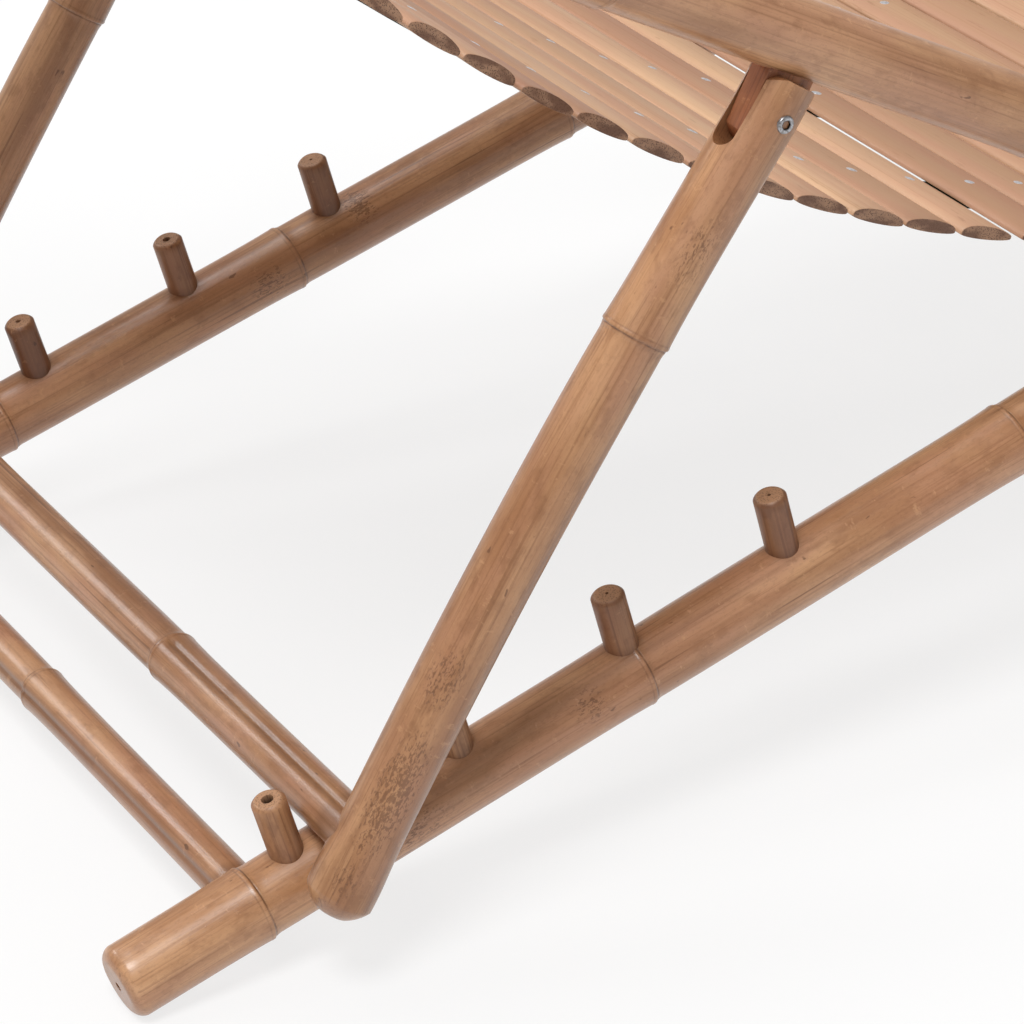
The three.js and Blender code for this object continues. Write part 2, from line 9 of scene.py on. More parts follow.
import bpy
import numpy as np
from bpy.types import ID, Material, Mesh, Node, Object, World
from bpy.types import NodeSocket as Socket
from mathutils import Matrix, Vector


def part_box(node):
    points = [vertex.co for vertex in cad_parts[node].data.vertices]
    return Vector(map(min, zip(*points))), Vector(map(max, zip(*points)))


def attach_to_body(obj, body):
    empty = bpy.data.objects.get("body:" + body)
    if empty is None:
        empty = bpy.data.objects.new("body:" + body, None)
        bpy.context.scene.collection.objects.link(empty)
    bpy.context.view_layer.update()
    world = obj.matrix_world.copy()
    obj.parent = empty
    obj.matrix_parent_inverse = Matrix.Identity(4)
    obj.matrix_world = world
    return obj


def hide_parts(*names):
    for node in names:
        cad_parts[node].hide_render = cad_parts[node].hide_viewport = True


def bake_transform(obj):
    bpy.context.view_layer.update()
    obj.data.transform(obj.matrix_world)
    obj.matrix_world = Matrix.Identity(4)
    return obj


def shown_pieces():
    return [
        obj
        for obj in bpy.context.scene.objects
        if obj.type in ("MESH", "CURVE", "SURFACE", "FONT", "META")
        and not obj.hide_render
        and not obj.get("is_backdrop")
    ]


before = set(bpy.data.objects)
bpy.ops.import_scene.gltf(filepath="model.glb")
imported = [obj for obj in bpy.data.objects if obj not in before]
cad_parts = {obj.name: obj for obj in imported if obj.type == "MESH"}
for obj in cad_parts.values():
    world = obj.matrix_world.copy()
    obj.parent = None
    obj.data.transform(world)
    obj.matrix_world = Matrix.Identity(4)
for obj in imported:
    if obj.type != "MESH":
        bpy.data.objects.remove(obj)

LOG = logging.getLogger("recliner")
Array = np.ndarray
Point = Tuple[float, float, float]
Colour = Point
Value = Union[float, Colour, Socket]
Pair = Tuple[Sequence, Sequence]
WHITE = (1.0, 1.0, 1.0)

# Sizes in metres that several sub-assemblies share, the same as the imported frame's
MM = 0.001
RAIL_TILT = math.radians(15.73)
POLE_SLOPE = math.radians(28.0)
GROUND_FLAT = 3 * MM
RAIL_RADIUS = 20.2 * MM
RAIL_OFFSET = 245.6 * MM
POLE_RADIUS = 19.5 * MM
POLE_OFFSET = RAIL_OFFSET + RAIL_RADIUS + POLE_RADIUS + 0.6 * MM
LEG_RADIUS = 17.5 * MM
HEAD_BAR_RADIUS = 15 * MM
FRONT_BAR_RADIUS = 14 * MM
CROSSBAR_OFF_AXIS = 4.8 * MM

# Mesh resolution
CULM_SEGMENTS = 72
PIN_SEGMENTS = 48
NAIL_SEGMENTS = 20
CURVE_STEPS = 7
DOME_STEPS = 5
BEND_STEPS = 25
SLAT_POINTS = 13
SLAT_RINGS = 41
BAND_POINTS = 13
WRAP_STEPS = 40

# A node of a culm, in millimetres along it. Its rings and its dark lines are humps, each
# given by its height, place and width
NODE_STATIONS = np.concatenate([
    np.linspace(-16, -3, 9), np.linspace(-2.6, 2.6, 19), np.linspace(3, 16, 9)])
NODE_SWELL = 0.9
NODE_STEP = 1.3
NODE_STEP_LENGTH = 2.6
FADE_BEFORE, FADE_AFTER, FADE_DARK = 18.0, 24.0, 14.0
NODE_RINGS = ((0.15, -1.0, 0.9), (-0.4, 0.7, 0.5), (0.25, 2.6, 0.9))
NODE_LINES = ((1.0, 0.7, 0.6), (0.5, -2.2, 0.45))
PLAIN_SWELL = 1.1
PLAIN_WIDTH = 19.0

# Other forms and marks of a culm. Each wave has its share of the radius, its number round
# and its rate along
RING_STEP = 6 * MM
CULM_WAVES = ((0.006, 2, 1.3), (0.003, 3, 9.0), (0.0025, 0, 31.0))
PITH_DEPTH = 5 * MM
RIND = 1.2 * MM
END_LENGTH = 6 * MM
STAIN_FADE = 6 * MM
DAB_LEVEL = 0.1
DAB_TURN = 0.55
GRAIN_SHIFT = 9.0
FULL_TURN = 6.28


def srgb(red: int, green: int, blue: int) -> Colour:
    """Converts an 8-bit sRGB colour to linear values.

    Args:
        red: Red from 0 to 255.
        green: Green from 0 to 255.
        blue: Blue from 0 to 255.

    Returns:
        The linear colour.
    """
    share = np.array([red, green, blue]) / 255
    linear = np.where(share <= 0.04045, share / 12.92, ((share + 0.055) / 1.055) ** 2.4)
    return tuple(linear.tolist())


class Body(Enum):
    """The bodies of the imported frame."""

    BASE = "base_frame"
    MAIN = "main_frame"
    PROP = "prop_frame"


class Slot(Enum):
    """Names of material slots."""

    POLE = "bamboo_pole"
    BAR = "bamboo_bar"
    SLAT = "split_bamboo"
    TONGUE = "tongue_wood"
    STEEL = "steel"
    WEBBING = "webbing"


class Side(Enum):
    """A side of the chair, with the sign of its place across."""

    NEAR = -1
    FAR = 1

    @property
    def label(self) -> str:
        """The side's name in nodes and pieces."""
        return self.name.lower()

    @property
    def index(self) -> int:
        """The side's place in pairs of near and far values."""
        return (self.value + 1) // 2


@dataclass(frozen=True)
class WoodFinish:
    """Colours and strengths of a bamboo or wood surface."""

    name: str
    dark: Colour
    light: Colour
    fibre: Colour
    speck: Colour
    cut: Colour
    blush: Colour
    roughness: float = 0.34
    speck_amount: float = 0.6
    tone_amount: float = 0.0
    bump: float = 0.35
    varnish: float = 0.28


@dataclass
class Placement:
    """A frame in the X-Z plane: local +X lies along its angle, +Z square to it."""

    origin: Point
    angle: float

    @property
    def turn(self) -> Array:
        """The matrix that turns rows of local points by the angle about Y."""
        cosine, sine = math.cos(self.angle), math.sin(self.angle)
        return np.array([[cosine, 0, sine], [0, 1, 0], [-sine, 0, cosine]])

    def place(self, points: Array) -> Array:
        """Moves local points to the row frame."""
        return points @ self.turn + self.origin

    def on_ground(self, points: Array) -> Array:
        """Moves local points to the row frame and lifts what would be below the ground."""
        return np.maximum(self.place(points), (-np.inf, -np.inf, 0.0))

    def local(self, points: Array) -> Array:
        """Moves row-frame points to this frame."""
        return (points - self.origin) @ self.turn.T


def columns(*parts: Union[float, Array]) -> Array:
    """Rows of coordinates: the parts, stretched to one shape and put side by side."""
    return np.stack(np.broadcast_arrays(*parts), axis=-1)


def hump(places: Array, at: float, width: float) -> Array:
    """A smooth hump of height 1: e to the power of -((place - at) / width) squared."""
    return np.exp(-((places - at) / width) ** 2)


def turned_off(angles: Array, middle: float) -> Array:
    """How far angles lie from a middle one, from -pi to pi."""
    return np.angle(np.exp(1j * (angles - middle)))


def put(mesh: Mesh, key: str, values: Array, kind: str = "FLOAT",
        domain: str = "POINT") -> None:
    """Writes a mesh attribute in place of one of that name.

    Args:
        mesh: The mesh.
        key: The attribute's name.
        values: Its values, one a row.
        kind: Its type.
        domain: What its values belong to.
    """
    if key in mesh.attributes:
        mesh.attributes.remove(mesh.attributes[key])
    attribute = mesh.attributes.new(key, kind, domain)
    part = "value" if kind == "FLOAT" else "vector"
    attribute.data.foreach_set(part, values.astype(np.float32).ravel())


def read(items: bpy.types.bpy_prop_collection, key: str) -> Array:
    """Reads a vector of each vertex or face of a mesh.

    Args:
        items: The vertices or faces.
        key: The vector's name.

    Returns:
        The vectors, one a row.
    """
    flat = np.zeros(len(items) * 3, np.float32)
    items.foreach_get(key, flat)
    return flat.reshape(-1, 3).astype(float)


def smooth(mesh: Mesh, sharp: float) -> None:
    """Shades a mesh smooth except over sharp edges.

    Args:
        mesh: The mesh to shade.
        sharp: Angle in degrees above which an edge is sharp.
    """
    mesh.polygons.foreach_set("use_smooth", np.ones(len(mesh.polygons), bool))
    mesh.set_sharp_from_angle(angle=math.radians(sharp))
    mesh.update()


def linked(name: str, data: ID) -> Object:
    """Makes an object of some data and puts it into the scene.

    Args:
        name: The object's name.
        data: Its mesh, lamp or camera.

    Returns:
        The object.
    """
    thing = bpy.data.objects.new(name, data)
    bpy.context.scene.collection.objects.link(thing)
    return thing


def attach(thing: Object, body: Body, slot: Slot, *nodes: str) -> None:
    """Ties a piece to a body and hides the nodes that it stands for.

    Args:
        thing: The piece.
        body: The CAD body that it moves with.
        slot: Not used.
        nodes: CAD nodes that it replaces.
    """
    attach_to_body(thing, body.value)
    if nodes:
        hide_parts(*nodes)


@dataclass
class Surface:
    """A mesh in the making: vertices, faces and named vertex attributes."""

    vertices: Array
    faces: List[List[int]]
    floats: Dict[str, Array] = field(default_factory=dict)
    vectors: Dict[str, Array] = field(default_factory=dict)

    def write(self, mesh: Mesh) -> None:
        """Writes the attributes to a mesh of the same vertices.

        Args:
            mesh: The mesh.
        """
        for key, values in self.floats.items():
            put(mesh, key, values)
        for key, values in self.vectors.items():
            put(mesh, key, values, "FLOAT_VECTOR")

    def to_object(self, name: str, material: Material,
                  sharp: float = 40.0) -> Object:
        """Makes a Blender object of the surface.

        Args:
            name: The object's name.
            material: The material for all its faces.
            sharp: Angle in degrees above which an edge is sharp.

        Returns:
            The linked object.
        """
        mesh = bpy.data.meshes.new(name)
        mesh.from_pydata(self.vertices.tolist(), [], self.faces)
        mesh.materials.append(material)
        self.write(mesh)
        smooth(mesh, sharp)
        return linked(name, mesh)


def skin(rings: Array, capped: bool = True, flip: bool = False) -> Surface:
    """Joins closed rings: quads run from ring i, point k to ring i + 1, point k + 1.

    Args:
        rings: Points as rings, points and coordinates.
        capped: Whether the first and the last ring get a face.
        flip: Whether the faces turn the other way.

    Returns:
        The surface.
    """
    rows, count = rings.shape[:2]
    here = np.arange(rows * count).reshape(rows, count)
    after = np.roll(here, -1, axis=1)
    quads = columns(here[:-1], here[1:], after[1:], after[:-1])
    faces = quads.reshape(-1, 4).tolist()
    if capped:
        faces += [here[0].tolist(), here[-1, ::-1].tolist()]
    if flip:
        faces = [face[::-1] for face in faces]
    return Surface(rings.reshape(-1, 3), faces)


def around(along: Array, segments: int) -> Tuple[Array, Array]:
    """The place along and the angle round of each point of a profile's open rings."""
    turn = np.arange(segments) * 2 * math.pi / segments
    return tuple(np.meshgrid(along[1:-1], turn, indexing="ij"))


def revolve(along: Array, radii: Array, segments: int,
            factor: Union[float, Array] = 1.0) -> Surface:
    """Revolves a profile about local X: (x, r cos t, r sin t), closed by two end points.

    Args:
        along: Place of each ring along X.
        radii: Radius of each ring; the first and the last one are zero.
        segments: Steps round.
        factor: Factor on the radius, one or one for each point of the open rings.

    Returns:
        The closed surface in local coordinates.
    """
    x, t = around(along, segments)
    r = radii[1:-1, None] * factor
    made = skin(columns(x, r * np.cos(t), r * np.sin(t)), capped=False)
    size = len(made.vertices)
    first = np.arange(segments)
    last = first + size - segments
    fans = [columns(size, first, np.roll(first, -1)),
            columns(size + 1, np.roll(last, -1), last)]
    made.faces += np.concatenate(fans).tolist()
    tips = [[along[0], 0.0, 0.0], [along[-1], 0.0, 0.0]]
    made.vertices = np.vstack([made.vertices, tips])
    return made


def merged(parts: Sequence[Surface]) -> Surface:
    """Puts surfaces without attributes into one.

    Args:
        parts: The surfaces.

    Returns:
        All of them as one.
    """
    shifts = np.cumsum([0] + [len(part.vertices) for part in parts]).tolist()
    faces = [[i + shift for i in face]
             for part, shift in zip(parts, shifts) for face in part.faces]
    return Surface(np.vstack([part.vertices for part in parts]), faces)


def prism(outline: Array, reach: float) -> Surface:
    """A closed prism of an X-Z outline, from -reach to reach along Y.

    Args:
        outline: Outline points, one a row, in order.
        reach: Half its depth.

    Returns:
        The closed surface.
    """
    ends = [np.insert(outline, 1, y, axis=1) for y in (-reach, reach)]
    return skin(np.stack(ends), flip=True)


def across(made: Surface, place: Point) -> Surface:
    """Turns a surface built along local +X to lie along Y about a place.

    Args:
        made: The surface, built along X and centred on zero.
        place: Its middle in the row frame.

    Returns:
        The same surface, moved.
    """
    x, y, z = made.vertices.T
    made.vertices = columns(-y, x, z) + place
    return made


def cut_by(thing: Object, cutters: Sequence[Surface]) -> None:
    """Cuts closed surfaces out of an object's mesh.

    Args:
        thing: The object to cut, with its mesh in the row frame.
        cutters: Closed surfaces in the row frame.
    """
    helpers = []
    for cutter in cutters:
        mesh = bpy.data.meshes.new("cutter")
        mesh.from_pydata(cutter.vertices.tolist(), [], cutter.faces)
        helpers.append(linked("cutter", mesh))
        modifier = thing.modifiers.new("cut", "BOOLEAN")
        modifier.operation = "DIFFERENCE"
        modifier.solver = "EXACT"
        modifier.object = helpers[-1]
    graph = bpy.context.evaluated_depsgraph_get()
    done = bpy.data.meshes.new_from_object(thing.evaluated_get(graph))
    thing.modifiers.clear()
    old = thing.data
    thing.data = done
    bpy.data.meshes.remove(old)
    for helper in helpers:
        bpy.data.objects.remove(helper)


@dataclass(frozen=True)
class Groove:
    """The furrow that a bud leaves along a culm: its depth, angle, width and far end."""

    sink: float = 0.0
    turn: float = 0.0
    width: float = 1.0
    until: float = 0.0

    def reach(self, places: Array, least: float) -> Array:
        """How strong the furrow is at places along the culm, fading out over 8 mm."""
        return np.clip((self.until - places) / (8 * MM), least, 1)


@dataclass(frozen=True)
class Dab:
    """A cluster of dark dabs: place, spread, angle in degrees and amount."""

    place: float
    spread: float
    angle: float
    amount: float


@dataclass
class Culm:
    """A length of bamboo pole along local +X with its nodes, round ends and end grain."""

    length: float
    radius: float
    nodes: Sequence[float]
    seed: int
    start: float = 0.0
    round_start: float = 1 * MM
    round_end: float = 1 * MM
    pith: float = 2.6 * MM
    groove: Groove = Groove()
    bow: float = 0.0
    bow_length: float = 1.0
    sense: int = 1
    plain: Tuple[int, ...] = ()
    bevel: float = 0.0
    dabs: Sequence[Dab] = ()
    end_grain: float = 0.42

    def stations(self) -> Array:
        """Places along the culm where its rings lie, close together at each node.

        Returns:
            Sorted distances from the start.
        """
        low, high = self.round_start, self.length - self.round_end
        places = [np.arange(low, high, RING_STEP)]
        places += [node + NODE_STATIONS * MM for node in self.nodes]
        flat = np.unique(np.round(np.concatenate(places), 6))
        flat = flat[(flat > low + 0.4 * MM) & (flat < high - 0.4 * MM)]
        return np.concatenate([[low], flat, [high]])

    def radius_at(self, places: Array) -> Array:
        """Radius along the culm: a long swell up to each scar, a step after it, and rings.

        Args:
            places: Distances from the start.

        Returns:
            The radius at each.
        """
        radius = np.full_like(places, self.radius)
        for i, node in enumerate(self.nodes):
            off = (places - node) / MM * self.sense
            if i in self.plain:
                radius += PLAIN_SWELL * MM * hump(off, 0, PLAIN_WIDTH)
                continue
            step = NODE_SWELL - NODE_STEP * np.clip(off / NODE_STEP_LENGTH, 0, 1)
            before = NODE_SWELL * np.exp(np.minimum(off, 0) / FADE_BEFORE)
            after = step * np.exp(-np.maximum(off, 0) / FADE_AFTER)
            radius += MM * np.where(off <= 0, before, after)
            for height, at, width in NODE_RINGS:
                radius += height * MM * hump(off, at, width)
        return radius

    def cap(self, edge: float, rim: float, rounding: float,
            side: float) -> Tuple[Array, Array]:
        """Profile of an end: a quarter round mixed with a bevel, a flat face, the pith.

        Args:
            edge: Place of the last full ring.
            rim: Its radius.
            rounding: Size of the rounding.
            side: -1 for the start and 1 for the end.

        Returns:
            Places and radii from the edge to the middle of the hole.
        """
        quarter = np.linspace(0, math.pi / 2, CURVE_STEPS)
        straight = quarter / (math.pi / 2) * self.bevel
        turn_x = edge + side * rounding * (np.sin(quarter) * (1 - self.bevel) + straight)
        turn_r = rim - rounding * ((1 - np.cos(quarter)) * (1 - self.bevel) + straight)
        face_x = edge + side * rounding
        face_r = np.linspace(turn_r[-1], self.pith, CURVE_STEPS)[1:]
        return (np.concatenate([turn_x[1:], np.full(CURVE_STEPS - 1, face_x),
                                np.full(2, face_x - side * PITH_DEPTH)]),
                np.concatenate([turn_r[1:], face_r, [self.pith * 0.8, 0.0]]))

    def surface(self) -> Surface:
        """Builds the culm: a revolved profile, its radius changed by waves and a furrow.

        Returns:
            The surface with the attributes that bamboo materials read.
        """
        places = self.stations()
        radii = self.radius_at(places)
        low_x, low_r = self.cap(places[0], radii[0], self.round_start, -1.0)
        high_x, high_r = self.cap(places[-1], radii[-1], self.round_end, 1.0)
        along = np.concatenate([low_x[::-1], places, high_x])
        x, t = around(along, CULM_SEGMENTS)
        factor = np.ones_like(x)
        phase = np.random.default_rng(self.seed).uniform(0, FULL_TURN, 3)
        phase[0] += math.pi / 2
        for (share, number, rate), shift in zip(CULM_WAVES, phase):
            factor -= share * (1 + np.sin(number * t + rate * x + shift))
        groove = self.groove
        near = hump(turned_off(t, groove.turn), 0, groove.width)
        factor -= groove.sink / self.radius * near * groove.reach(x, 0)
        made = revolve(along, np.concatenate([low_r[::-1], radii, high_r]), CULM_SEGMENTS,
                       factor)
        made.vertices[:, 0] += self.start
        self.mark(made)
        made.vertices[:, 2] += self.bow_at(made.vertices[:, 0])
        return made

    def bow_at(self, places: Array) -> Array:
        """Sideways bend of the culm along local X: half a sine wave."""
        share = np.clip((places - self.start) / self.bow_length, 0, 1)
        return self.bow * np.sin(math.pi * share)

    def mark(self, made: Surface) -> None:
        """Writes the attributes that the material reads, from local coordinates.

        Args:
            made: The surface, still in local coordinates.
        """
        rng = np.random.default_rng(self.seed + 100)
        places = made.vertices[:, 0] - self.start
        turn = np.arctan2(made.vertices[:, 2], made.vertices[:, 1])
        ring, near = np.zeros((2, len(places)))
        for i, node in enumerate(self.nodes):
            off = (places - node) / MM * self.sense
            near = np.maximum(near, np.exp(-np.abs(off) / FADE_DARK))
            if i not in self.plain:
                for dark, at, width in NODE_LINES:
                    ring = np.maximum(ring, dark * hump(off, at, width))
        reach = np.hypot(made.vertices[:, 1], made.vertices[:, 2])
        inside = np.clip((self.radius - RIND - reach) / MM, 0, 1)
        # Painted shade: faces inside the pith hole are marked to be painted near black
        hole = reach < self.pith * 0.95
        at_end = np.minimum(places, self.length - places) < END_LENGTH
        # Painted shade: the bud furrow is darkened along the culm as shade in the recess; real
        # joint stains share this attribute
        bud = hump(turned_off(turn, self.groove.turn), 0, 2 * self.groove.width)
        level = np.full(len(places), DAB_LEVEL)
        for dab in self.dabs:
            off_turn = turned_off(turn, math.radians(dab.angle))
            cluster = hump(made.vertices[:, 0], dab.place, dab.spread)
            level = np.maximum(level, dab.amount * cluster * hump(off_turn, 0, DAB_TURN))
        made.floats = {
            "ring": ring, "near": near, "dab": level,
            "cut": np.where(hole, 1.0, self.end_grain * inside) * at_end,
            "hole": hole.astype(float) * at_end,
            "stain_and_groove_shade": 0.75 * bud * self.groove.reach(places, 0.3) * (self.groove.sink > 0),
            "tone": np.full(len(places), rng.uniform(0, 1)),
        }
        made.vectors["grain"] = made.vertices + rng.uniform(-GRAIN_SHIFT, GRAIN_SHIFT, 3)


class Graph:
    """The node tree of a material or world in the making, with layers of colour."""

    def __init__(self, owner: Union[Material, World],
                 shader: str = "Principled BSDF") -> None:
        """Starts on a new material or world.

        Args:
            owner: The material or world.
            shader: The name of its own shader node.
        """
        owner.use_nodes = True
        self.owner = owner
        self.tree = owner.node_tree
        self.shader = self.tree.nodes[shader]
        self.colour: Value = WHITE

    @classmethod
    def material(cls, name: str) -> "Graph":
        """Starts on a new material."""
        return cls(bpy.data.materials.new(name))

    def show(self, share: Value, first: Node, second: Node, output: str) -> None:
        """Mixes two shaders and feeds them to the tree's output.

        Args:
            share: Share of the second shader.
            first: The first shader's node.
            second: The second shader's node.
            output: The name of the output node.
        """
        shaders = {0: share, 1: first.outputs[0], 2: second.outputs[0]}
        mixed = self.node("ShaderNodeMixShader", shaders).outputs[0]
        self.feed(self.tree.nodes[output].inputs["Surface"], mixed)

    def node(self, kind: str, inputs: Dict[Union[str, int], Value],
             **settings: str) -> Node:
        """Adds a node.

        Args:
            kind: Its type.
            inputs: Values or sockets by the input's name or number.
            settings: Its own settings by name.

        Returns:
            The node.
        """
        node = self.tree.nodes.new(kind)
        for key, value in settings.items():
            setattr(node, key, value)
        for key, value in inputs.items():
            self.feed(node.inputs[key], value)
        return node

    def feed(self, socket: Socket, value: Value) -> None:
        """Links a socket or sets its value.

        Args:
            socket: The input socket.
            value: A socket, number, vector or colour.
        """
        if isinstance(value, Socket):
            self.tree.links.new(value, socket)
        elif isinstance(value, tuple) and socket.type == "RGBA":
            socket.default_value = (*value, 1.0)
        else:
            socket.default_value = value

    def finish(self, **inputs: Value) -> Material:
        """Sets the shader's inputs, with _ for a space, and the layered colour.

        Args:
            inputs: Values or sockets by input name.

        Returns:
            The material.
        """
        for key, value in {"Base_Color": self.colour, **inputs}.items():
            self.feed(self.shader.inputs[key.replace("_", " ")], value)
        return self.owner

    def attribute(self, name: str, output: str = "Fac") -> Socket:
        """Reads a mesh attribute."""
        return self.node("ShaderNodeAttribute", {}, attribute_name=name).outputs[output]

    def scaled(self, vector: Socket, scale: Colour) -> Socket:
        """Multiplies a vector by another."""
        return self.node("ShaderNodeVectorMath", {0: vector, 1: scale},
                         operation="MULTIPLY").outputs[0]

    def noise(self, vector: Socket, scale: Colour, detail: float = 3.0,
              roughness: float = 0.55) -> Socket:
        """Noise with a number of waves per metre along each axis."""
        return self.node("ShaderNodeTexNoise", {
            "Vector": self.scaled(vector, scale), "Scale": 1.0, "Detail": detail,
            "Roughness": roughness}).outputs[0]

    def between(self, value: Socket, low: float, high: float, to_low: float = 0.0,
                to_high: float = 1.0) -> Socket:
        """Maps a range of a value smoothly to another range."""
        ends = {"Value": value, 1: low, 2: high, 3: to_low, 4: to_high}
        return self.node("ShaderNodeMapRange", ends,
                         interpolation_type="SMOOTHSTEP").outputs["Result"]

    def patches(self, vector: Socket, scale: Colour, texture: Tuple[float, float],
                ends: Tuple[float, float], amount: float) -> Socket:
        """Noise of a detail and roughness, mapped between its ends to 0 and an amount."""
        return self.between(self.noise(vector, scale, *texture), *ends, 0.0, amount)

    def math(self, operation: str, a: Value, b: Value = 0.0) -> Socket:
        """Does arithmetic on two values."""
        return self.node("ShaderNodeMath", {0: a, 1: b}, operation=operation).outputs[0]

    def times(self, a: Value, b: Value) -> Socket:
        """Multiplies two values."""
        return self.math("MULTIPLY", a, b)

    def mix(self, share: Value, a: Value, b: Value) -> Socket:
        """Mixes two colours by the share of the second."""
        shares = {0: share, 6: a, 7: b}
        return self.node("ShaderNodeMix", shares, data_type="RGBA").outputs[2]

    def paint(self, share: Value, colour: Value) -> None:
        """Lays a colour over what is there."""
        self.colour = self.mix(share, self.colour, colour)

    def pores(self, vector: Socket, scale: Colour) -> Socket:
        """Distance to the nearest pore of end grain."""
        return self.node("ShaderNodeTexVoronoi", {
            "Vector": self.scaled(vector, scale), "Scale": 1.0}).outputs["Distance"]

    def bump(self, height: Socket, strength: float, depth: float) -> Socket:
        """The normal of a surface with a height of some depth in metres."""
        return self.node("ShaderNodeBump", {
            "Height": height, "Strength": strength, "Distance": depth}).outputs["Normal"]


def bamboo_material(finish: WoodFinish) -> Material:
    """Bamboo: long fibres, blotches, clustered dabs, worn scuffs, node scars, end grain.

    Args:
        finish: Its colours and strengths.

    Returns:
        The material.
    """
    g = Graph.material(finish.name)
    grain = g.attribute("grain", "Vector")
    blotch = g.noise(grain, (8, 30, 30), 5.0, 0.62)
    fibre = g.noise(grain, (8, 620, 620), 3.0, 0.6)
    streak = g.noise(grain, (3.4, 110, 110), 3.0, 0.55)
    g.colour = g.mix(g.between(blotch, 0.34, 0.66), finish.dark, finish.light)
    g.paint(g.patches(grain, (12, 40, 40), (2.0, 0.55), (0.42, 0.66), 0.6), finish.blush)
    if finish.tone_amount:
        g.paint(g.times(g.attribute("tone"), finish.tone_amount), finish.fibre)
    g.paint(g.between(streak, 0.47, 0.7, 0.0, 0.5), finish.fibre)
    g.paint(g.between(fibre, 0.48, 0.72, 0.0, 0.58), finish.fibre)
    g.paint(g.patches(grain, (5, 260, 260), (2.0, 0.5), (0.67, 0.73), 0.5), finish.speck)
    g.paint(g.patches(grain, (60, 110, 110), (3.0, 0.6), (0.52, 0.68), 0.36), finish.fibre)
    # Dabs: fine noise, where it falls below a limit that rises with the dab level
    level = g.attribute("dab")
    depth = g.math("SUBTRACT", g.noise(grain, (330, 860, 860), 3.0, 0.7),
                   g.times(level, 0.16))
    dots = g.times(g.between(g.times(depth, -1.0), -0.44, -0.38), finish.speck_amount)
    dots = g.times(dots, g.between(level, 0.02, 0.3))
    g.paint(dots, finish.speck)
    g.paint(g.patches(grain, (90, 190, 190), (2.0, 0.5), (0.73, 0.77), 0.7), finish.speck)
    g.paint(g.patches(grain, (190, 120, 120), (4.0, 0.7), (0.6, 0.7), 0.5), finish.light)
    g.paint(g.times(g.attribute("near"), 0.18), finish.fibre)
    broken = g.between(g.noise(grain, (70, 190, 190), 2.0), 0.35, 0.62, 0.3, 0.8)
    g.paint(g.times(g.attribute("ring"), broken), finish.speck)
    # Real stains at joints, and painted shade along bud furrows, in the speck colour
    g.paint(g.times(g.attribute("stain_and_groove_shade"), 0.6), finish.speck)
    pores = g.between(g.pores(grain, (90, 900, 900)), 0.15, 0.5, 0.45, 1.0)
    g.paint(g.attribute("cut"), g.mix(pores, finish.speck, finish.cut))
    # Painted shade: the inside of the pith hole near black
    g.paint(g.attribute("hole"), srgb(36, 22, 14))
    height = g.math("ADD", g.times(fibre, 0.45), g.times(streak, 0.9))
    height = g.math("ADD", height, g.times(blotch, 1.4))
    ripple = g.noise(grain, (70, 90, 90), 3.0, 0.6)
    height = g.math("ADD", height, g.times(ripple, 0.35))
    height = g.math("SUBTRACT", height, g.times(dots, 0.5))
    return g.finish(
        Roughness=g.between(blotch, 0.3, 0.7, finish.roughness - 0.06,
                            finish.roughness + 0.08),
        Coat_Weight=finish.varnish, Coat_Roughness=0.24,
        Normal=g.bump(height, finish.bump, 0.8 * MM))


def slat_material() -> Material:
    """Split bamboo: pale smooth split side, browner bark below, dark end grain.

    Returns:
        The material.
    """
    g = Graph.material("split_bamboo_slat")
    grain = g.attribute("grain", "Vector")
    tone = g.attribute("tone")
    cloud = g.noise(grain, (4.5, 60, 60), 3.0, 0.5)
    line = g.noise(grain, (2.5, 650, 650), 2.0, 0.5)
    clouded = g.between(cloud, 0.35, 0.65)
    g.colour = g.mix(clouded, g.mix(tone, srgb(166, 126, 97), srgb(205, 167, 132)),
                     g.mix(tone, srgb(168, 124, 99), srgb(197, 154, 124)))
    g.paint(g.between(line, 0.52, 0.75, 0.0, 0.4), srgb(160, 112, 78))
    g.paint(g.patches(grain, (40, 300, 300), (3.0, 0.65), (0.62, 0.72), 0.35),
            srgb(140, 96, 66))
    g.paint(g.attribute("bark"), g.mix(clouded, srgb(158, 112, 72), srgb(184, 138, 94)))
    end = g.mix(g.between(g.pores(grain, (60, 1100, 1100)), 0.2, 0.5),
                srgb(98, 70, 50), srgb(168, 130, 102))
    browned = g.patches(grain, (9, 55, 140), (2.0, 0.5), (0.4, 0.62), 0.8)
    g.paint(g.attribute("cut"), g.mix(browned, end, srgb(98, 62, 42)))
    height = g.math("ADD", line, g.times(cloud, 0.5))
    return g.finish(Roughness=g.between(cloud, 0.3, 0.7, 0.4, 0.52),
                    Normal=g.bump(height, 0.25, 0.5 * MM))


def metal_material(name: str, waves: float, detail: float, bright: Colour, worn: Colour,
                   metallic: float) -> Tuple[Graph, Socket]:
    """Starts a lightly worn metal.

    Args:
        name: The material's name.
        waves: Waves of its wear per metre.
        detail: Octaves of its wear.
        bright: Its clean colour.
        worn: Its worn colour.
        metallic: How metallic it is.

    Returns:
        The material in the making and its wear.
    """
    g = Graph.material(name)
    place = g.node("ShaderNodeTexCoord", {}).outputs["Object"]
    wear = g.noise(place, (waves, waves, waves), detail)
    g.colour = g.mix(g.between(wear, 0.35, 0.7), bright, worn)
    g.finish(Metallic=metallic, Normal=g.bump(wear, 0.1, 0.1 * MM))
    return g, wear


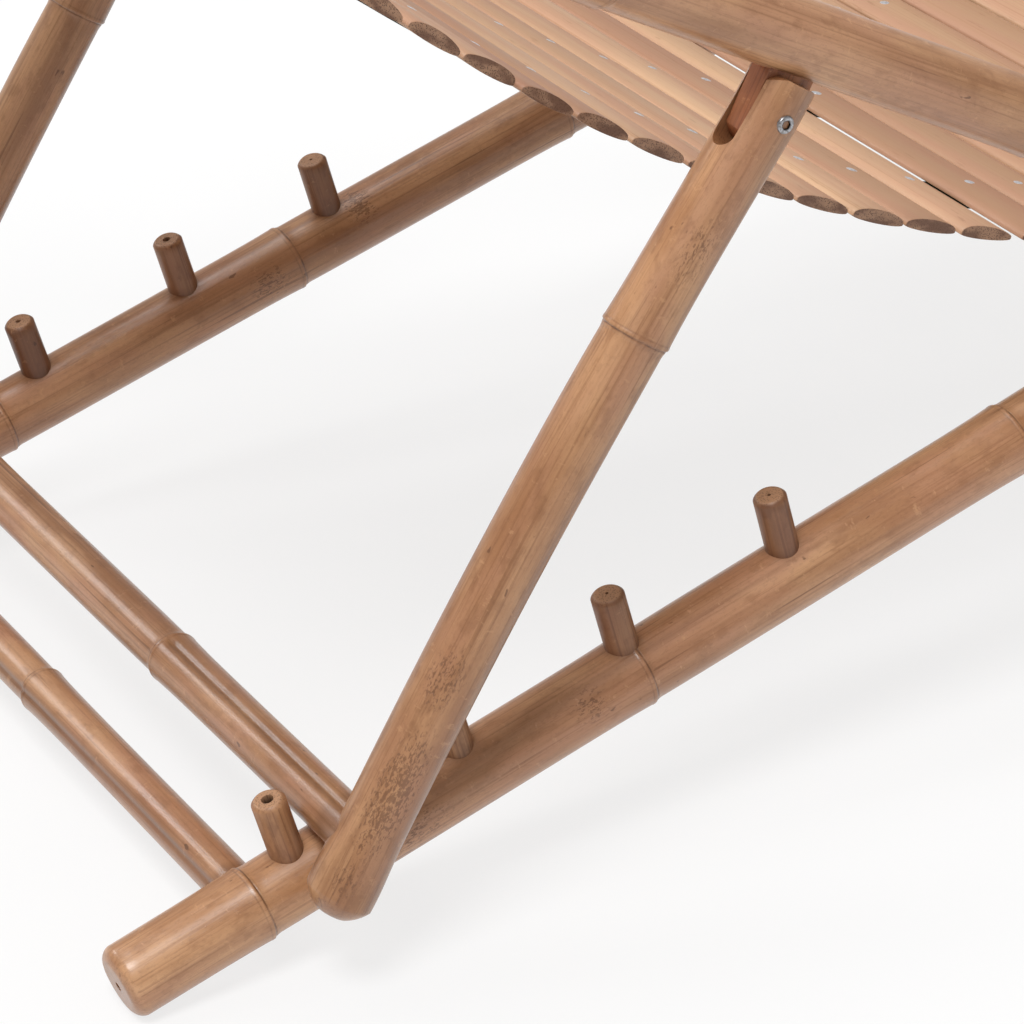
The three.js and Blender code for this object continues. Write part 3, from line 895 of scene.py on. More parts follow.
def steel_material() -> Material:
    """Dull zinc-plated steel with painted shade in its sockets.

    Returns:
        The material.
    """
    g, wear = metal_material("dull_steel", 900, 3.0, srgb(186, 186, 190),
                             srgb(140, 136, 134), 1.0)
    # Painted shade: the inside of the hexagon sockets darkened
    g.paint(g.attribute("hole"), srgb(44, 38, 34))
    return g.finish(Roughness=g.between(wear, 0.3, 0.7, 0.28, 0.45))


def nail_material() -> Material:
    """Bright flat nail heads, lightly worn.

    Returns:
        The material.
    """
    g, _ = metal_material("bright_nail", 600, 2.0, srgb(226, 226, 230),
                          srgb(190, 188, 190), 0.55)
    return g.finish(Roughness=0.38)


def webbing_material() -> Material:
    """Dark green woven band: ribs across, yarns along.

    Returns:
        The material.
    """
    g = Graph.material("green_webbing")
    weave = g.attribute("weave", "Vector")
    ribs, yarns = (
        g.node("ShaderNodeTexWave", {"Vector": weave, "Scale": waves},
               bands_direction=direction).outputs["Fac"]
        for waves, direction in ((90.0, "X"), (150.0, "Y")))
    height = g.times(ribs, yarns)
    g.colour = g.mix(g.between(height, 0.1, 0.8), srgb(18, 30, 20), srgb(44, 68, 44))
    g.paint(g.patches(weave, (400, 400, 400), (3.0, 0.55), (0.5, 0.75), 0.4),
            srgb(64, 84, 58))
    return g.finish(Roughness=0.85, Normal=g.bump(height, 0.6, 0.5 * MM))


def floor_material() -> Material:
    """Plain pale floor, which glows a little where it is seen directly or reflected.

    Returns:
        The material.
    """
    g = Graph.material("pale_floor")
    path = g.node("ShaderNodeLightPath", {}).outputs
    seen = g.math("MAXIMUM", path["Is Camera Ray"], g.math(
        "MAXIMUM", path["Is Glossy Ray"], path["Is Transmission Ray"]))
    glow = g.node("ShaderNodeEmission", {"Color": WHITE, "Strength": 1.0})
    g.show(g.times(seen, 0.78), g.shader, glow, "Material Output")
    g.colour = (0.86, 0.86, 0.86)
    return g.finish(Roughness=0.9)


class Finishes:
    """All materials of the object, made once."""

    def __init__(self) -> None:
        """Makes the materials."""
        self.pole = bamboo_material(WoodFinish(
            "bamboo_culm", srgb(170, 121, 83), srgb(208, 160, 119), srgb(146, 99, 66),
            srgb(94, 58, 34), srgb(160, 110, 74), srgb(188, 136, 104)))
        self.leg = bamboo_material(WoodFinish(
            "bamboo_leg", srgb(156, 108, 72), srgb(192, 145, 105), srgb(130, 86, 54),
            srgb(98, 60, 38), srgb(158, 110, 74), srgb(174, 125, 95)))
        self.bar = bamboo_material(WoodFinish(
            "bamboo_thin_bar", srgb(164, 116, 80), srgb(200, 154, 116), srgb(136, 92, 60),
            srgb(88, 56, 36), srgb(150, 108, 76), srgb(180, 130, 104), speck_amount=0.5))
        self.peg = bamboo_material(WoodFinish(
            "peg_dowel", srgb(146, 100, 66), srgb(180, 132, 92), srgb(104, 62, 40),
            srgb(72, 44, 28), srgb(190, 146, 112), srgb(158, 106, 74), roughness=0.48,
            speck_amount=0.35, tone_amount=0.6, varnish=0.15))
        self.tongue = bamboo_material(WoodFinish(
            "tongue_hardwood", srgb(146, 88, 52), srgb(188, 124, 80), srgb(104, 58, 34),
            srgb(58, 30, 20), srgb(160, 100, 66), srgb(160, 92, 58), roughness=0.55,
            speck_amount=0.3, varnish=0.1))
        self.slat = slat_material()
        self.steel = steel_material()
        self.nail = nail_material()
        self.webbing = webbing_material()


@dataclass
class Layout:
    """Where things are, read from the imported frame."""

    pivot: Vector
    bolt: Vector
    prop_bar: Vector

    @classmethod
    def from_frame(cls) -> "Layout":
        """Reads the hinge and bar places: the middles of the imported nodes' boxes."""
        nodes = ("near_pivot_bolt", "near_prop_bolt", "prop_crossbar")
        return cls(*(sum(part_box(node), Vector()) / 2 for node in nodes))

    def arm(self, radius: float, slope: float) -> float:
        """Distance from the pivot down a sloping pole to its end on the ground."""
        return (self.pivot.z + GROUND_FLAT - radius * math.cos(slope)) / math.sin(slope)

    def at_pivot(self, y: float, angle: float) -> Placement:
        """A placement with the pivot as its origin."""
        return Placement((self.pivot.x, y, self.pivot.z), angle)

    def prop(self, y: float) -> Placement:
        """The prop frame's placement at one side.

        Args:
            y: Place across.

        Returns:
            The placement, with the bolt as its origin and +X up the leg.
        """
        away = self.bolt - self.prop_bar
        lean = math.asin(CROSSBAR_OFF_AXIS / math.hypot(away.x, away.z))
        return Placement((self.bolt.x, y, self.bolt.z), math.atan2(away.z, away.x) + lean)

    @property
    def bar_reach(self) -> float:
        """Distance from the bolt to the crossbar, along the leg."""
        away = self.bolt - self.prop_bar
        return math.sqrt(away.x ** 2 + away.z ** 2 - CROSSBAR_OFF_AXIS ** 2)


@dataclass
class CrossBar:
    """A cross bar that runs into the poles at both sides; nodes are places across."""

    node: str
    body: Body
    radius: float
    half: float
    nodes: Sequence[float]
    seed: int
    groove: Groove = Groove()

    def build(self, finishes: Finishes) -> None:
        """Builds the bar, with a darker joint where it enters the poles.

        Args:
            finishes: The materials.
        """
        low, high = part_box(self.node)
        middle = (low + high) / 2
        culm = Culm(self.half * 2, self.radius, [self.half + at for at in self.nodes],
                    self.seed, start=-self.half, groove=self.groove)
        made = across(culm.surface(), (middle.x, 0.0, middle.z))
        into = np.abs(made.vertices[:, 1]) - (self.half - self.radius * 1.9)
        seam = 0.8 * np.clip(into / STAIN_FADE, 0, 1)
        made.floats["stain_and_groove_shade"] = np.maximum(made.floats["stain_and_groove_shade"], seam)
        thing = made.to_object(f"{self.node}_bamboo", finishes.bar)
        attach(thing, self.body, Slot.BAR, self.node)


@dataclass
class BaseFrame:
    """Rails with their pegs, rear rung, front bar and pivot bolts.

    A rail's dabs are given by a peg's number and the distance from it, spread, angle and
    amount. They and the pegs' piths are in millimetres.
    """

    layout: Layout
    finishes: Finishes
    front_arm: float = 382 * MM
    rail_seed: int = 11
    rail_nodes: Pair = ((0.0675, 0.2659, 0.4751, 0.6252, 0.821),
                        (0.149, 0.322, 0.49, 0.655, 0.84))
    rail_dabs: Pair = (((2, -34.0, 9.0, 150.0, 0.4), (0, 60.0, 26.0, 175.0, 0.35)),
                       ((3, 17.0, 7.0, 122.0, 0.85), (2, 48.0, 14.0, 172.0, 0.4)))
    rung_radius: float = 12.8 * MM
    first_peg: float = 107 * MM
    peg_pitch: float = 105 * MM
    peg_radius: float = 9.25 * MM
    peg_stand: float = 35 * MM
    peg_sink: float = 14 * MM
    peg_stain: float = 3.5 * MM
    peg_seeds: Pair = ((40, 41, 42, 43), (60, 61, 62, 63))
    peg_piths: Pair = ((3.3, 1.0, 0.9, 1.1), (1.2, 1.6, 2.4, 0.9))
    peg_tones: Pair = ((0.05, 0.1, 0.6, 0.75), (0.4, 1.0, 0.15, 0.7))
    bolt_radius: float = 4 * MM
    bolt_head_radius: float = 8 * MM
    bolt_head_height: float = 3 * MM
    bolt_gap: float = 0.3 * MM

    def build(self) -> None:
        """Builds the sub-assembly."""
        for side in Side:
            self.rail(side)
            self.pivot_bolt(side)
        CrossBar("rear_rung", Body.BASE, self.rung_radius, RAIL_OFFSET,
                 (-RAIL_OFFSET * 0.02, RAIL_OFFSET * 0.8), 31,
                 Groove(1.3 * MM, math.radians(17), 0.13, 1.0)).build(self.finishes)
        CrossBar("front_bar", Body.BASE, FRONT_BAR_RADIUS, RAIL_OFFSET,
                 (RAIL_OFFSET / 3,), 32).build(self.finishes)

    def rail(self, side: Side) -> None:
        """Builds one rail and its pegs.

        Args:
            side: The side.
        """
        rear = self.layout.arm(RAIL_RADIUS, RAIL_TILT)
        length = rear + self.front_arm
        nodes, dabs, seeds, piths, tones = (pair[side.index] for pair in (
            self.rail_nodes, self.rail_dabs, self.peg_seeds, self.peg_piths,
            self.peg_tones))
        pegs = [self.first_peg + i * self.peg_pitch - rear for i in range(len(piths))]
        made = Culm(length, RAIL_RADIUS, [s * length for s in nodes],
                    self.rail_seed + side.index, start=-rear, round_start=6 * MM,
                    round_end=5 * MM, bevel=0.25,
                    dabs=[Dab(pegs[i] + off * MM, spread * MM, angle, amount)
                          for i, off, spread, angle, amount in dabs]).surface()
        for x in pegs:
            away = np.linalg.norm(made.vertices - (x, 0, RAIL_RADIUS), axis=1)
            ring = np.clip(1 - away / (self.peg_radius + self.peg_stain), 0, 1) ** 0.7
            made.floats["stain_and_groove_shade"] = np.maximum(made.floats["stain_and_groove_shade"], ring)
        placement = self.layout.at_pivot(side.value * RAIL_OFFSET, RAIL_TILT)
        made.vertices = placement.on_ground(made.vertices)
        thing = made.to_object(f"{side.label}_rail_bamboo", self.finishes.pole)
        attach(thing, Body.BASE, Slot.POLE, f"{side.label}_base_rail")
        for i, (x, pith, tone, seed) in enumerate(zip(pegs, piths, tones, seeds)):
            name = f"{side.label}_peg_{i + 1}"
            self.peg(name, placement, x, pith * MM, tone, seed)

    def peg(self, name: str, placement: Placement, x: float, pith: float, tone: float,
            seed: int) -> None:
        """Builds one peg.

        Args:
            name: The piece's name.
            placement: The rail's placement.
            x: Its place along the rail.
            pith: Radius of the hole in its top.
            tone: Share of its darker colour.
            seed: Seed of its variation.
        """
        made = Culm(self.peg_stand + self.peg_sink, self.peg_radius, [], seed,
                    round_start=0.5 * MM, round_end=2.2 * MM, pith=pith, bevel=0.75,
                    end_grain=0.85).surface()
        made.floats["tone"][:] = tone
        rise, y, z = made.vertices.T
        made.floats["stain_and_groove_shade"] = 0.55 * np.clip(1 - (rise - self.peg_sink) / (4 * MM), 0, 1)
        made.vertices = placement.place(
            columns(x + y, z, RAIL_RADIUS - self.peg_sink + rise))
        attach(made.to_object(name, self.finishes.peg), Body.BASE, Slot.BAR)

    def pivot_bolt(self, side: Side) -> None:
        """Builds one pivot bolt with its domed heads.

        Args:
            side: The side.
        """
        inner = RAIL_OFFSET - RAIL_RADIUS - self.bolt_gap
        outer = POLE_OFFSET + POLE_RADIUS + self.bolt_gap
        dome = np.linspace(0, math.pi / 2, CURVE_STEPS)
        rise = self.bolt_head_height * np.sin(dome)
        round_off = self.bolt_head_radius * np.cos(dome)
        round_off[-1] = 0.0
        along = np.concatenate([(inner - rise)[::-1], [inner, outer], outer + rise])
        radius = np.concatenate([round_off[::-1], [self.bolt_radius] * 2, round_off])
        made = revolve(along, radius, PIN_SEGMENTS)
        x, y, z = made.vertices.T
        made.floats["hole"] = np.zeros(len(x))
        pivot = self.layout.pivot
        made.vertices = columns(pivot.x - side.value * y, side.value * x, pivot.z + z)
        thing = made.to_object(f"{side.label}_pivot_bolt_steel", self.finishes.steel)
        attach(thing, Body.BASE, Slot.STEEL, f"{side.label}_pivot_bolt")


@dataclass
class MainFrame:
    """The long poles, head bar, foot bar and the tongues of the prop."""

    layout: Layout
    finishes: Finishes
    head_arm: float = 978 * MM
    pole_seed: int = 21
    pole_nodes: Tuple[float, ...] = (0.053, 0.256, 0.459, 0.626, 0.812, 0.958)
    foot_bar_radius: float = 13 * MM
    tongue_thickness: float = 14 * MM
    tongue_width: float = 30 * MM
    tongue_round: float = 18.5 * MM
    tongue_top: float = 45.2 * MM
    tongue_edge: float = 1.2 * MM

    def build(self) -> None:
        """Builds the sub-assembly."""
        for side in Side:
            self.pole(side)
            self.tongue(side)
        for node, radius, seed in (("head_bar", HEAD_BAR_RADIUS, 33),
                                   ("foot_bar", self.foot_bar_radius, 34)):
            CrossBar(node, Body.MAIN, radius, POLE_OFFSET, (POLE_OFFSET / 3,),
                     seed).build(self.finishes)

    def pole(self, side: Side) -> None:
        """Builds one main pole.

        Args:
            side: The side.
        """
        length = self.head_arm + self.layout.arm(POLE_RADIUS, POLE_SLOPE)
        made = Culm(length, POLE_RADIUS, [s * length for s in self.pole_nodes],
                    self.pole_seed + side.index, start=-self.head_arm,
                    round_start=5 * MM, round_end=5 * MM).surface()
        placement = self.layout.at_pivot(side.value * POLE_OFFSET, -POLE_SLOPE)
        made.vertices = placement.on_ground(made.vertices)
        thing = made.to_object(f"{side.label}_pole_bamboo", self.finishes.pole)
        attach(thing, Body.MAIN, Slot.POLE, f"{side.label}_main_pole")

    def tongue(self, side: Side) -> None:
        """Builds one tongue: a plate with a round lower end, its outline drawn in towards
        both faces by a quarter round.

        Args:
            side: The side.
        """
        half, top = self.tongue_width / 2, self.tongue_top
        corner = math.acos(half / self.tongue_round)
        bend = np.linspace(math.pi + corner, 2 * math.pi - corner, BEND_STEPS)
        rise = np.linspace(0, top, 8)[1:-1]
        outline = np.vstack([
            [[half, top], [-half, top]],
            columns(-half, rise[::-1]),
            columns(np.cos(bend), np.sin(bend)) * self.tongue_round,
            columns(half, rise)])
        step = np.roll(outline, -1, axis=0) - np.roll(outline, 1, axis=0)
        inward = columns(-step[:, 1], step[:, 0])
        inward /= np.linalg.norm(inward, axis=1, keepdims=True)
        turn = np.linspace(0, math.pi / 2, DOME_STEPS)
        depth = self.tongue_thickness / 2 - self.tongue_edge * (1 - np.sin(turn))
        inset = self.tongue_edge * (1 - np.cos(turn))
        lift = np.concatenate([-depth[::-1], depth])
        flat = outline + inward * np.concatenate([inset[::-1], inset])[:, None, None]
        made = skin(columns(flat[..., 0], lift[:, None], flat[..., 1]), flip=True)
        size = len(made.vertices)
        made.vectors["grain"] = made.vertices[:, [2, 0, 1]] + 3.1 * side.value
        for key in ("ring", "near", "cut", "stain_and_groove_shade", "hole", "dab"):
            made.floats[key] = np.zeros(size)
        made.floats["tone"] = np.full(size, 0.5)
        bolt = self.layout.bolt
        seat = Placement((bolt.x, side.value * POLE_OFFSET, bolt.z), -POLE_SLOPE)
        made.vertices = seat.place(made.vertices)
        thing = made.to_object(f"{side.label}_tongue_wood", self.finishes.tongue, 50)
        attach(thing, Body.MAIN, Slot.TONGUE, f"{side.label}_tongue")


@dataclass
class PropFrame:
    """The forked prop legs, their barrel bolts and the crossbar."""

    layout: Layout
    finishes: Finishes
    leg_seed: int = 51
    leg_nodes: Pair = ((0.036, 0.693), (0.036, 0.618))
    leg_bow: float = 7.2 * MM
    bar_from_foot: float = 41 * MM
    crossbar_radius: float = 14.3 * MM
    rind: float = 0.9 * MM
    fork_round: float = 21.5 * MM
    fork_flat: float = 19.5 * MM
    fork_slot: float = 14.8 * MM
    fork_below_bolt: float = 24 * MM
    bolt_radius: float = 4.7 * MM
    bolt_edge: float = 0.7 * MM
    bolt_socket: float = 2.4 * MM

    def build(self) -> None:
        """Builds the sub-assembly."""
        for side in Side:
            self.leg(side)
            self.bolt(side)
        CrossBar("prop_crossbar", Body.PROP, self.crossbar_radius, POLE_OFFSET,
                 (-POLE_OFFSET * 0.29, POLE_OFFSET * 0.6), 35,
                 Groove(2 * MM, math.radians(77), 0.15, POLE_OFFSET * 0.71)).build(
                     self.finishes)

    def leg(self, side: Side) -> None:
        """Builds one prop leg: rounded foot, node, and forked top.

        Args:
            side: The side.
        """
        below = self.layout.bar_reach + self.bar_from_foot
        length = below + self.fork_round
        dabs = (Dab(-below + 72 * MM, 30 * MM, 146.0, 0.78),
                Dab(-below + 136 * MM, 17 * MM, 134.0, 0.45),
                Dab(-below + 22 * MM, 12 * MM, 140.0, 0.3),
                Dab(-self.fork_below_bolt - 50 * MM, 22 * MM, 160.0, 0.3))
        culm = Culm(length, LEG_RADIUS, [s * length for s in self.leg_nodes[side.index]],
                    self.leg_seed + side.index, start=-below, round_start=9 * MM,
                    pith=1.5 * MM, bow=self.leg_bow, bow_length=below, sense=-1,
                    plain=(0,), bevel=0.7, dabs=dabs)
        made = culm.surface()
        placement = self.layout.prop(side.value * POLE_OFFSET)
        made.vertices = placement.place(made.vertices)
        thing = made.to_object(f"{side.label}_leg_bamboo", self.finishes.leg)
        cut_by(thing, self.fork_cutters(placement))
        self.repaint(thing, placement, culm)
        attach(thing, Body.PROP, Slot.POLE, f"{side.label}_prop_leg")

    def fork_cutters(self, placement: Placement) -> List[Surface]:
        """The slot with its round bottom, and the rounding of the ears.

        Args:
            placement: The leg's placement.

        Returns:
            Closed cutters in the row frame.
        """
        half, size = self.fork_slot / 2, self.fork_round
        bottom = half - self.fork_below_bolt
        bend = np.linspace(math.pi / 2, 3 * math.pi / 2, BEND_STEPS)
        slot = prism(np.vstack([
            [[size * 1.5, -half], [size * 1.5, half]],
            columns(bottom + half * np.cos(bend), half * np.sin(bend))]), 3 * LEG_RADIUS)
        slot.vertices = slot.vertices[:, [0, 2, 1]]
        arc = np.linspace(-math.pi / 2, math.pi / 2, 61)
        crown = prism(np.vstack([
            columns(np.minimum(size * np.cos(arc), self.fork_flat), size * np.sin(arc)),
            [[2 * size, size], [2 * size, -size]]]), 3 * LEG_RADIUS)
        for cutter in (slot, crown):
            cutter.vertices = placement.place(cutter.vertices)
        return [slot, crown]

    def repaint(self, thing: Object, placement: Placement, culm: Culm) -> None:
        """Writes the attributes of a cut leg again, and marks its cut faces.

        Args:
            thing: The cut leg.
            placement: Its placement.
            culm: The culm that it was made as.
        """
        mesh = thing.data
        made = Surface(placement.local(read(mesh.vertices, "co")), [])
        made.vertices[:, 2] -= culm.bow_at(made.vertices[:, 0])
        culm.mark(made)
        del made.floats["cut"]
        made.write(mesh)
        x, y, z = placement.local(read(mesh.polygons, "center")).T
        reach = np.hypot(y, z - culm.bow_at(x))
        cut = (reach < culm.radius - self.rind) & (x > -self.fork_below_bolt - 2 * MM)
        put(mesh, "cut", 0.85 * cut, domain="FACE")
        smooth(mesh, 35)

    def bolt(self, side: Side) -> None:
        """Builds one barrel bolt with a hexagon socket in each end.

        Args:
            side: The side.
        """
        half = LEG_RADIUS + 0.8 * MM
        socket, edge = self.bolt_socket, self.bolt_edge
        end_x = half - np.array([3 * MM, 3 * MM, 0.2 * MM, 0, 0, edge * 0.4, edge])
        end_r = np.array([0.0, socket, socket, socket + 0.5 * MM, self.bolt_radius - edge,
                          self.bolt_radius - edge * 0.3, self.bolt_radius])
        along = np.concatenate([-end_x, end_x[::-1]])
        _, t = around(along, PIN_SEGMENTS)
        factor = np.ones_like(t)
        corner = np.cos(math.pi / 6) / np.cos(np.mod(t, math.pi / 3) - math.pi / 6)
        factor[[0, 1, -2, -1]] = corner[[0, 1, -2, -1]]
        made = revolve(along, np.concatenate([end_r, end_r[::-1]]), PIN_SEGMENTS, factor)
        reach = np.hypot(made.vertices[:, 1], made.vertices[:, 2])
        # Marks the hexagon sockets, which the steel paints with shade
        made.floats["hole"] = (reach < socket * 1.02).astype(float)
        place = (self.layout.bolt.x, side.value * POLE_OFFSET, self.layout.bolt.z)
        thing = across(made, place).to_object(
            f"{side.label}_barrel_bolt", self.finishes.steel)
        attach(thing, Body.PROP, Slot.STEEL, f"{side.label}_prop_bolt")


@dataclass
class SlatSeat:
    """Where one slat lies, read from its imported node."""

    node: str
    placement: Placement
    width: float
    half_length: float

    @classmethod
    def from_node(cls, node: str) -> "SlatSeat":
        """Fits a placement to a packed slat by the main axes of its section.

        Args:
            node: The slat's node.

        Returns:
            Its seat, with the origin on its lowest line.
        """
        co = read(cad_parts[node].data.vertices, "co")
        flat = np.unique(np.round(co[:, [0, 2]], 6), axis=0)
        centred = flat - flat.mean(0)
        _, vectors = np.linalg.eigh(centred.T @ centred)
        along = vectors[:, 1] * (1 if vectors[0, 1] > 0 else -1)
        normal = np.array([-along[1], along[0]])
        u, v = flat @ along, flat @ normal
        origin = along * (u.min() + u.max()) / 2 + normal * v.min()
        placement = Placement((origin[0], 0.0, origin[1]), math.atan2(along[1], along[0]))
        return cls(node, placement, float(np.ptp(u)), float(np.ptp(co[:, 1]) / 2))


@dataclass
class Mat:
    """The hanging mat: slats, nails and webbing bands.

    A slat's crown varies in height and leans to a side by its range, its ends are short by
    up to so many millimetres, and its outline wavers by a share, at two rates along it. A
    nail strays from its place by up to so many millimetres.
    """

    layout: Layout
    finishes: Finishes
    back_slats: int = 25
    seat_slats: int = 8
    before_gap: str = "back_slat_7"
    edge_low: float = 1.8 * MM
    edge_high: float = 3.2 * MM
    thickness: float = 8 * MM
    crown_range: Tuple[float, float] = (0.78, 1.0)
    lean_range: Tuple[float, float] = (0.85, 1.18)
    gap_lean: float = 1.25
    short_by: float = 2.5
    waver: float = 0.012
    waver_rates: Tuple[float, float] = (11.0, 17.0)
    nail_radius: float = 3.5 * MM
    nail_rise: float = 0.65 * MM
    nail_sink: float = 0.4 * MM
    nail_depth: float = 2 * MM
    nail_stray: float = 2.5
    band_places: Tuple[Tuple[str, float], ...] = (
        ("near", -143 * MM), ("middle", 0.0), ("far", 143 * MM))
    band_width: float = 38 * MM
    band_thickness: float = 1.2 * MM
    band_gap: float = 0.3 * MM
    band_shares: Tuple[float, ...] = (-0.28, 0.0, 0.28)
    wrap_gap: float = 0.8 * MM
    wrap_angle: float = math.radians(285)
    split: float = 14 * MM
    drop: float = 4.2 * MM
    bend_reach: float = 17 * MM
    crowns: Dict[str, Tuple[Array, Array]] = field(default_factory=dict)

    def build(self) -> None:
        """Builds the sub-assembly."""
        halves = []
        for label, count, body, seed in (("back", self.back_slats, Body.MAIN, 200),
                                         ("seat", self.seat_slats, Body.BASE, 300)):
            seats = [SlatSeat.from_node(f"{label}_slat_{i + 1}") for i in range(count)]
            for i, seat in enumerate(seats):
                self.slat(seat, body, seed + i)
            halves.append(seats)
        self.nails("back_nails", halves[0], Body.MAIN, 7)
        self.nails("seat_nails", halves[1], Body.BASE, 8)
        for place, y in self.band_places:
            self.band(place, y, *halves)

    def slat(self, seat: SlatSeat, body: Body, seed: int) -> None:
        """Builds one split slat: a lens-shaped outline carried along Y, drawn in at the
        ends and a little uneven in width and height along its length.

        Args:
            seat: Its seat.
            body: The body that it moves with.
            seed: Seed of its variation.
        """
        rng = np.random.default_rng(seed)
        half_w = seat.width / 2
        turn = np.linspace(0, math.pi, SLAT_POINTS)
        low = columns(-half_w * np.cos(turn), self.edge_low * (1 - np.sin(turn)))
        crown = (self.thickness - self.edge_high) * rng.uniform(*self.crown_range)
        lean = (self.gap_lean if seat.node == self.before_gap
                else rng.uniform(*self.lean_range))
        bulge = np.sin(math.pi * (turn / math.pi) ** lean)
        high = columns(half_w * np.cos(turn), self.edge_high + crown * bulge)
        outline = np.vstack([low, high])
        centre = np.array([0.0, (self.edge_low + self.edge_high) / 2])
        ends = seat.half_length - rng.uniform(0, self.short_by, 2) * MM
        edges = np.array([0.0, 0.3, 1.0]) * MM
        places = np.concatenate([
            [-ends[0]] * 4, -ends[0] + edges,
            np.linspace(-ends[0] + 2 * MM, ends[1] - 2 * MM, SLAT_RINGS),
            ends[1] - edges[::-1], [ends[1]] * 4])
        taper = np.array([0.0, 0.4, 0.75, 0.95, 0.97, 0.99, 1.0])
        shrink = np.concatenate([taper, np.ones(SLAT_RINGS), taper[::-1]])
        phase = rng.uniform(0, FULL_TURN, 3)
        waves = np.sin(np.multiply.outer(self.waver_rates, places) + phase[:2, None])
        waist, droop = 1 - self.waver * (1 + waves) * (shrink > 0.9)
        ring = (outline - centre) * shrink[:, None, None]
        ring[..., 0] *= waist[:, None]
        ring[:, SLAT_POINTS:, 1] *= droop[:, None]
        ring += centre
        made = skin(columns(ring[..., 0], places[:, None], ring[..., 1]), capped=False)
        bark = np.concatenate([np.sin(turn) ** 0.5, np.zeros(SLAT_POINTS)])
        made.floats["cut"] = np.repeat((shrink < 0.985).astype(float), len(outline))
        made.floats["bark"] = np.tile(bark, len(places))
        made.floats["tone"] = np.full(len(made.vertices), rng.uniform(0, 1))
        made.vectors["grain"] = made.vertices[:, [1, 0, 2]] + rng.uniform(
            -GRAIN_SHIFT, GRAIN_SHIFT, 3)
        made.vertices = seat.placement.place(made.vertices)
        self.crowns[seat.node] = (high[::-1, 0], high[::-1, 1])
        thing = made.to_object(f"{seat.node}_split", self.finishes.slat, 50)
        attach(thing, body, Slot.SLAT, seat.node)

    def nails(self, name: str, seats: Sequence[SlatSeat], body: Body, seed: int) -> None:
        """Builds the flat nail heads of one half of the mat, on the crowns of its slats.

        Args:
            name: The piece's name.
            seats: The slats that the nails are in.
            body: The body that they move with.
            seed: Seed of their small offsets.
        """
        rng = np.random.default_rng(seed)
        dome = np.linspace(0, math.pi / 2, DOME_STEPS)
        along = np.concatenate([[-self.nail_depth] * 2, self.nail_rise * np.sin(dome)])
        radii = np.concatenate([[0.0, self.nail_radius], self.nail_radius * np.cos(dome)])
        radii[-1] = 0.0
        heads = []
        for seat in seats:
            for _, y in self.band_places:
                head = revolve(along, radii, NAIL_SEGMENTS)
                x, u, v = head.vertices.T
                off = rng.uniform(-self.nail_stray, self.nail_stray, 2) * MM
                top = float(np.interp(off[0], *self.crowns[seat.node])) - self.nail_sink
                head.vertices = seat.placement.place(
                    columns(u + off[0], v + y + off[1], top + x))
                heads.append(head)
        attach(merged(heads).to_object(name, self.finishes.nail), body, Slot.STEEL)

    def path(self, seats: Sequence[SlatSeat], bar: str, radius: float,
             direction: int) -> Tuple[Array, Array]:
        """Centre line of a band: under the slats of one half, then round its bar.

        Args:
            seats: The half's slats from the pivot outwards.
            bar: The bar's node.
            radius: The bar's radius.
            direction: -1 towards the head and 1 towards the foot.

        Returns:
            Points and upward normals in the X-Z plane.
        """
        turns = np.array([seat.placement.angle for seat in seats])
        widths = np.array([seat.width for seat in seats])
        lowest = np.array([seat.placement.origin for seat in seats])[:, [0, 2]]
        normals = columns(-np.sin(turns), np.cos(turns))
        along = columns(np.cos(turns), np.sin(turns))
        under = lowest - normals * (self.band_gap + self.band_thickness / 2)
        shares = np.array(self.band_shares) * direction
        steps = along[:, None] * (widths[:, None] * shares)[..., None]
        points = (under[:, None] + steps).reshape(-1, 2)
        low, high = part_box(bar)
        centre = np.array([(low.x + high.x) / 2, (low.z + high.z) / 2])
        reach = radius + self.wrap_gap + self.band_thickness / 2
        away = points[-1] - centre
        tangent = math.atan2(away[1], away[0]) + direction * math.acos(
            min(1.0, reach / float(np.linalg.norm(away))))
        wrap = tangent - direction * self.wrap_angle * np.linspace(0, 1, WRAP_STEPS)
        round_bar = columns(np.cos(wrap), np.sin(wrap))
        return (np.vstack([points, centre + round_bar * reach]),
                np.vstack([np.repeat(normals, len(shares), axis=0), round_bar]))

    def band(self, place: str, y: float, back: Sequence[SlatSeat],
             seat: Sequence[SlatSeat]) -> None:
        """Builds one webbing band: a flat section carried from head bar to front bar.

        Args:
            place: The band's name.
            y: Its place across.
            back: The back half's slats.
            seat: The seat half's slats.
        """
        head, head_normals = self.path(back, "head_bar", HEAD_BAR_RADIUS, -1)
        front, front_normals = self.path(seat, "front_bar", FRONT_BAR_RADIUS, 1)
        points = np.vstack([head[::-1], front])[:, None]
        normals = np.vstack([head_normals[::-1], front_normals])[:, None]
        steps = np.linalg.norm(np.diff(points[:, 0], axis=0), axis=1)
        length = np.concatenate([[0], np.cumsum(steps)])[:, None]
        half, thick = self.band_width / 2, self.band_thickness / 2
        spots = np.linspace(-half, half, BAND_POINTS)
        section = np.concatenate([spots, spots[::-1]])
        lift = np.repeat([thick, -thick], BAND_POINTS)
        x = points[..., 0] + normals[..., 0] * lift
        z = points[..., 1] + normals[..., 1] * lift
        made = skin(columns(x, y + section, z))
        made.vectors["weave"] = columns(length, section, 0.0).reshape(-1, 3)
        thing = made.to_object(f"{place}_band_webbing", self.finishes.webbing, 60)
        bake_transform(thing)
        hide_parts(f"back_webbing_{place}", f"seat_webbing_{place}")


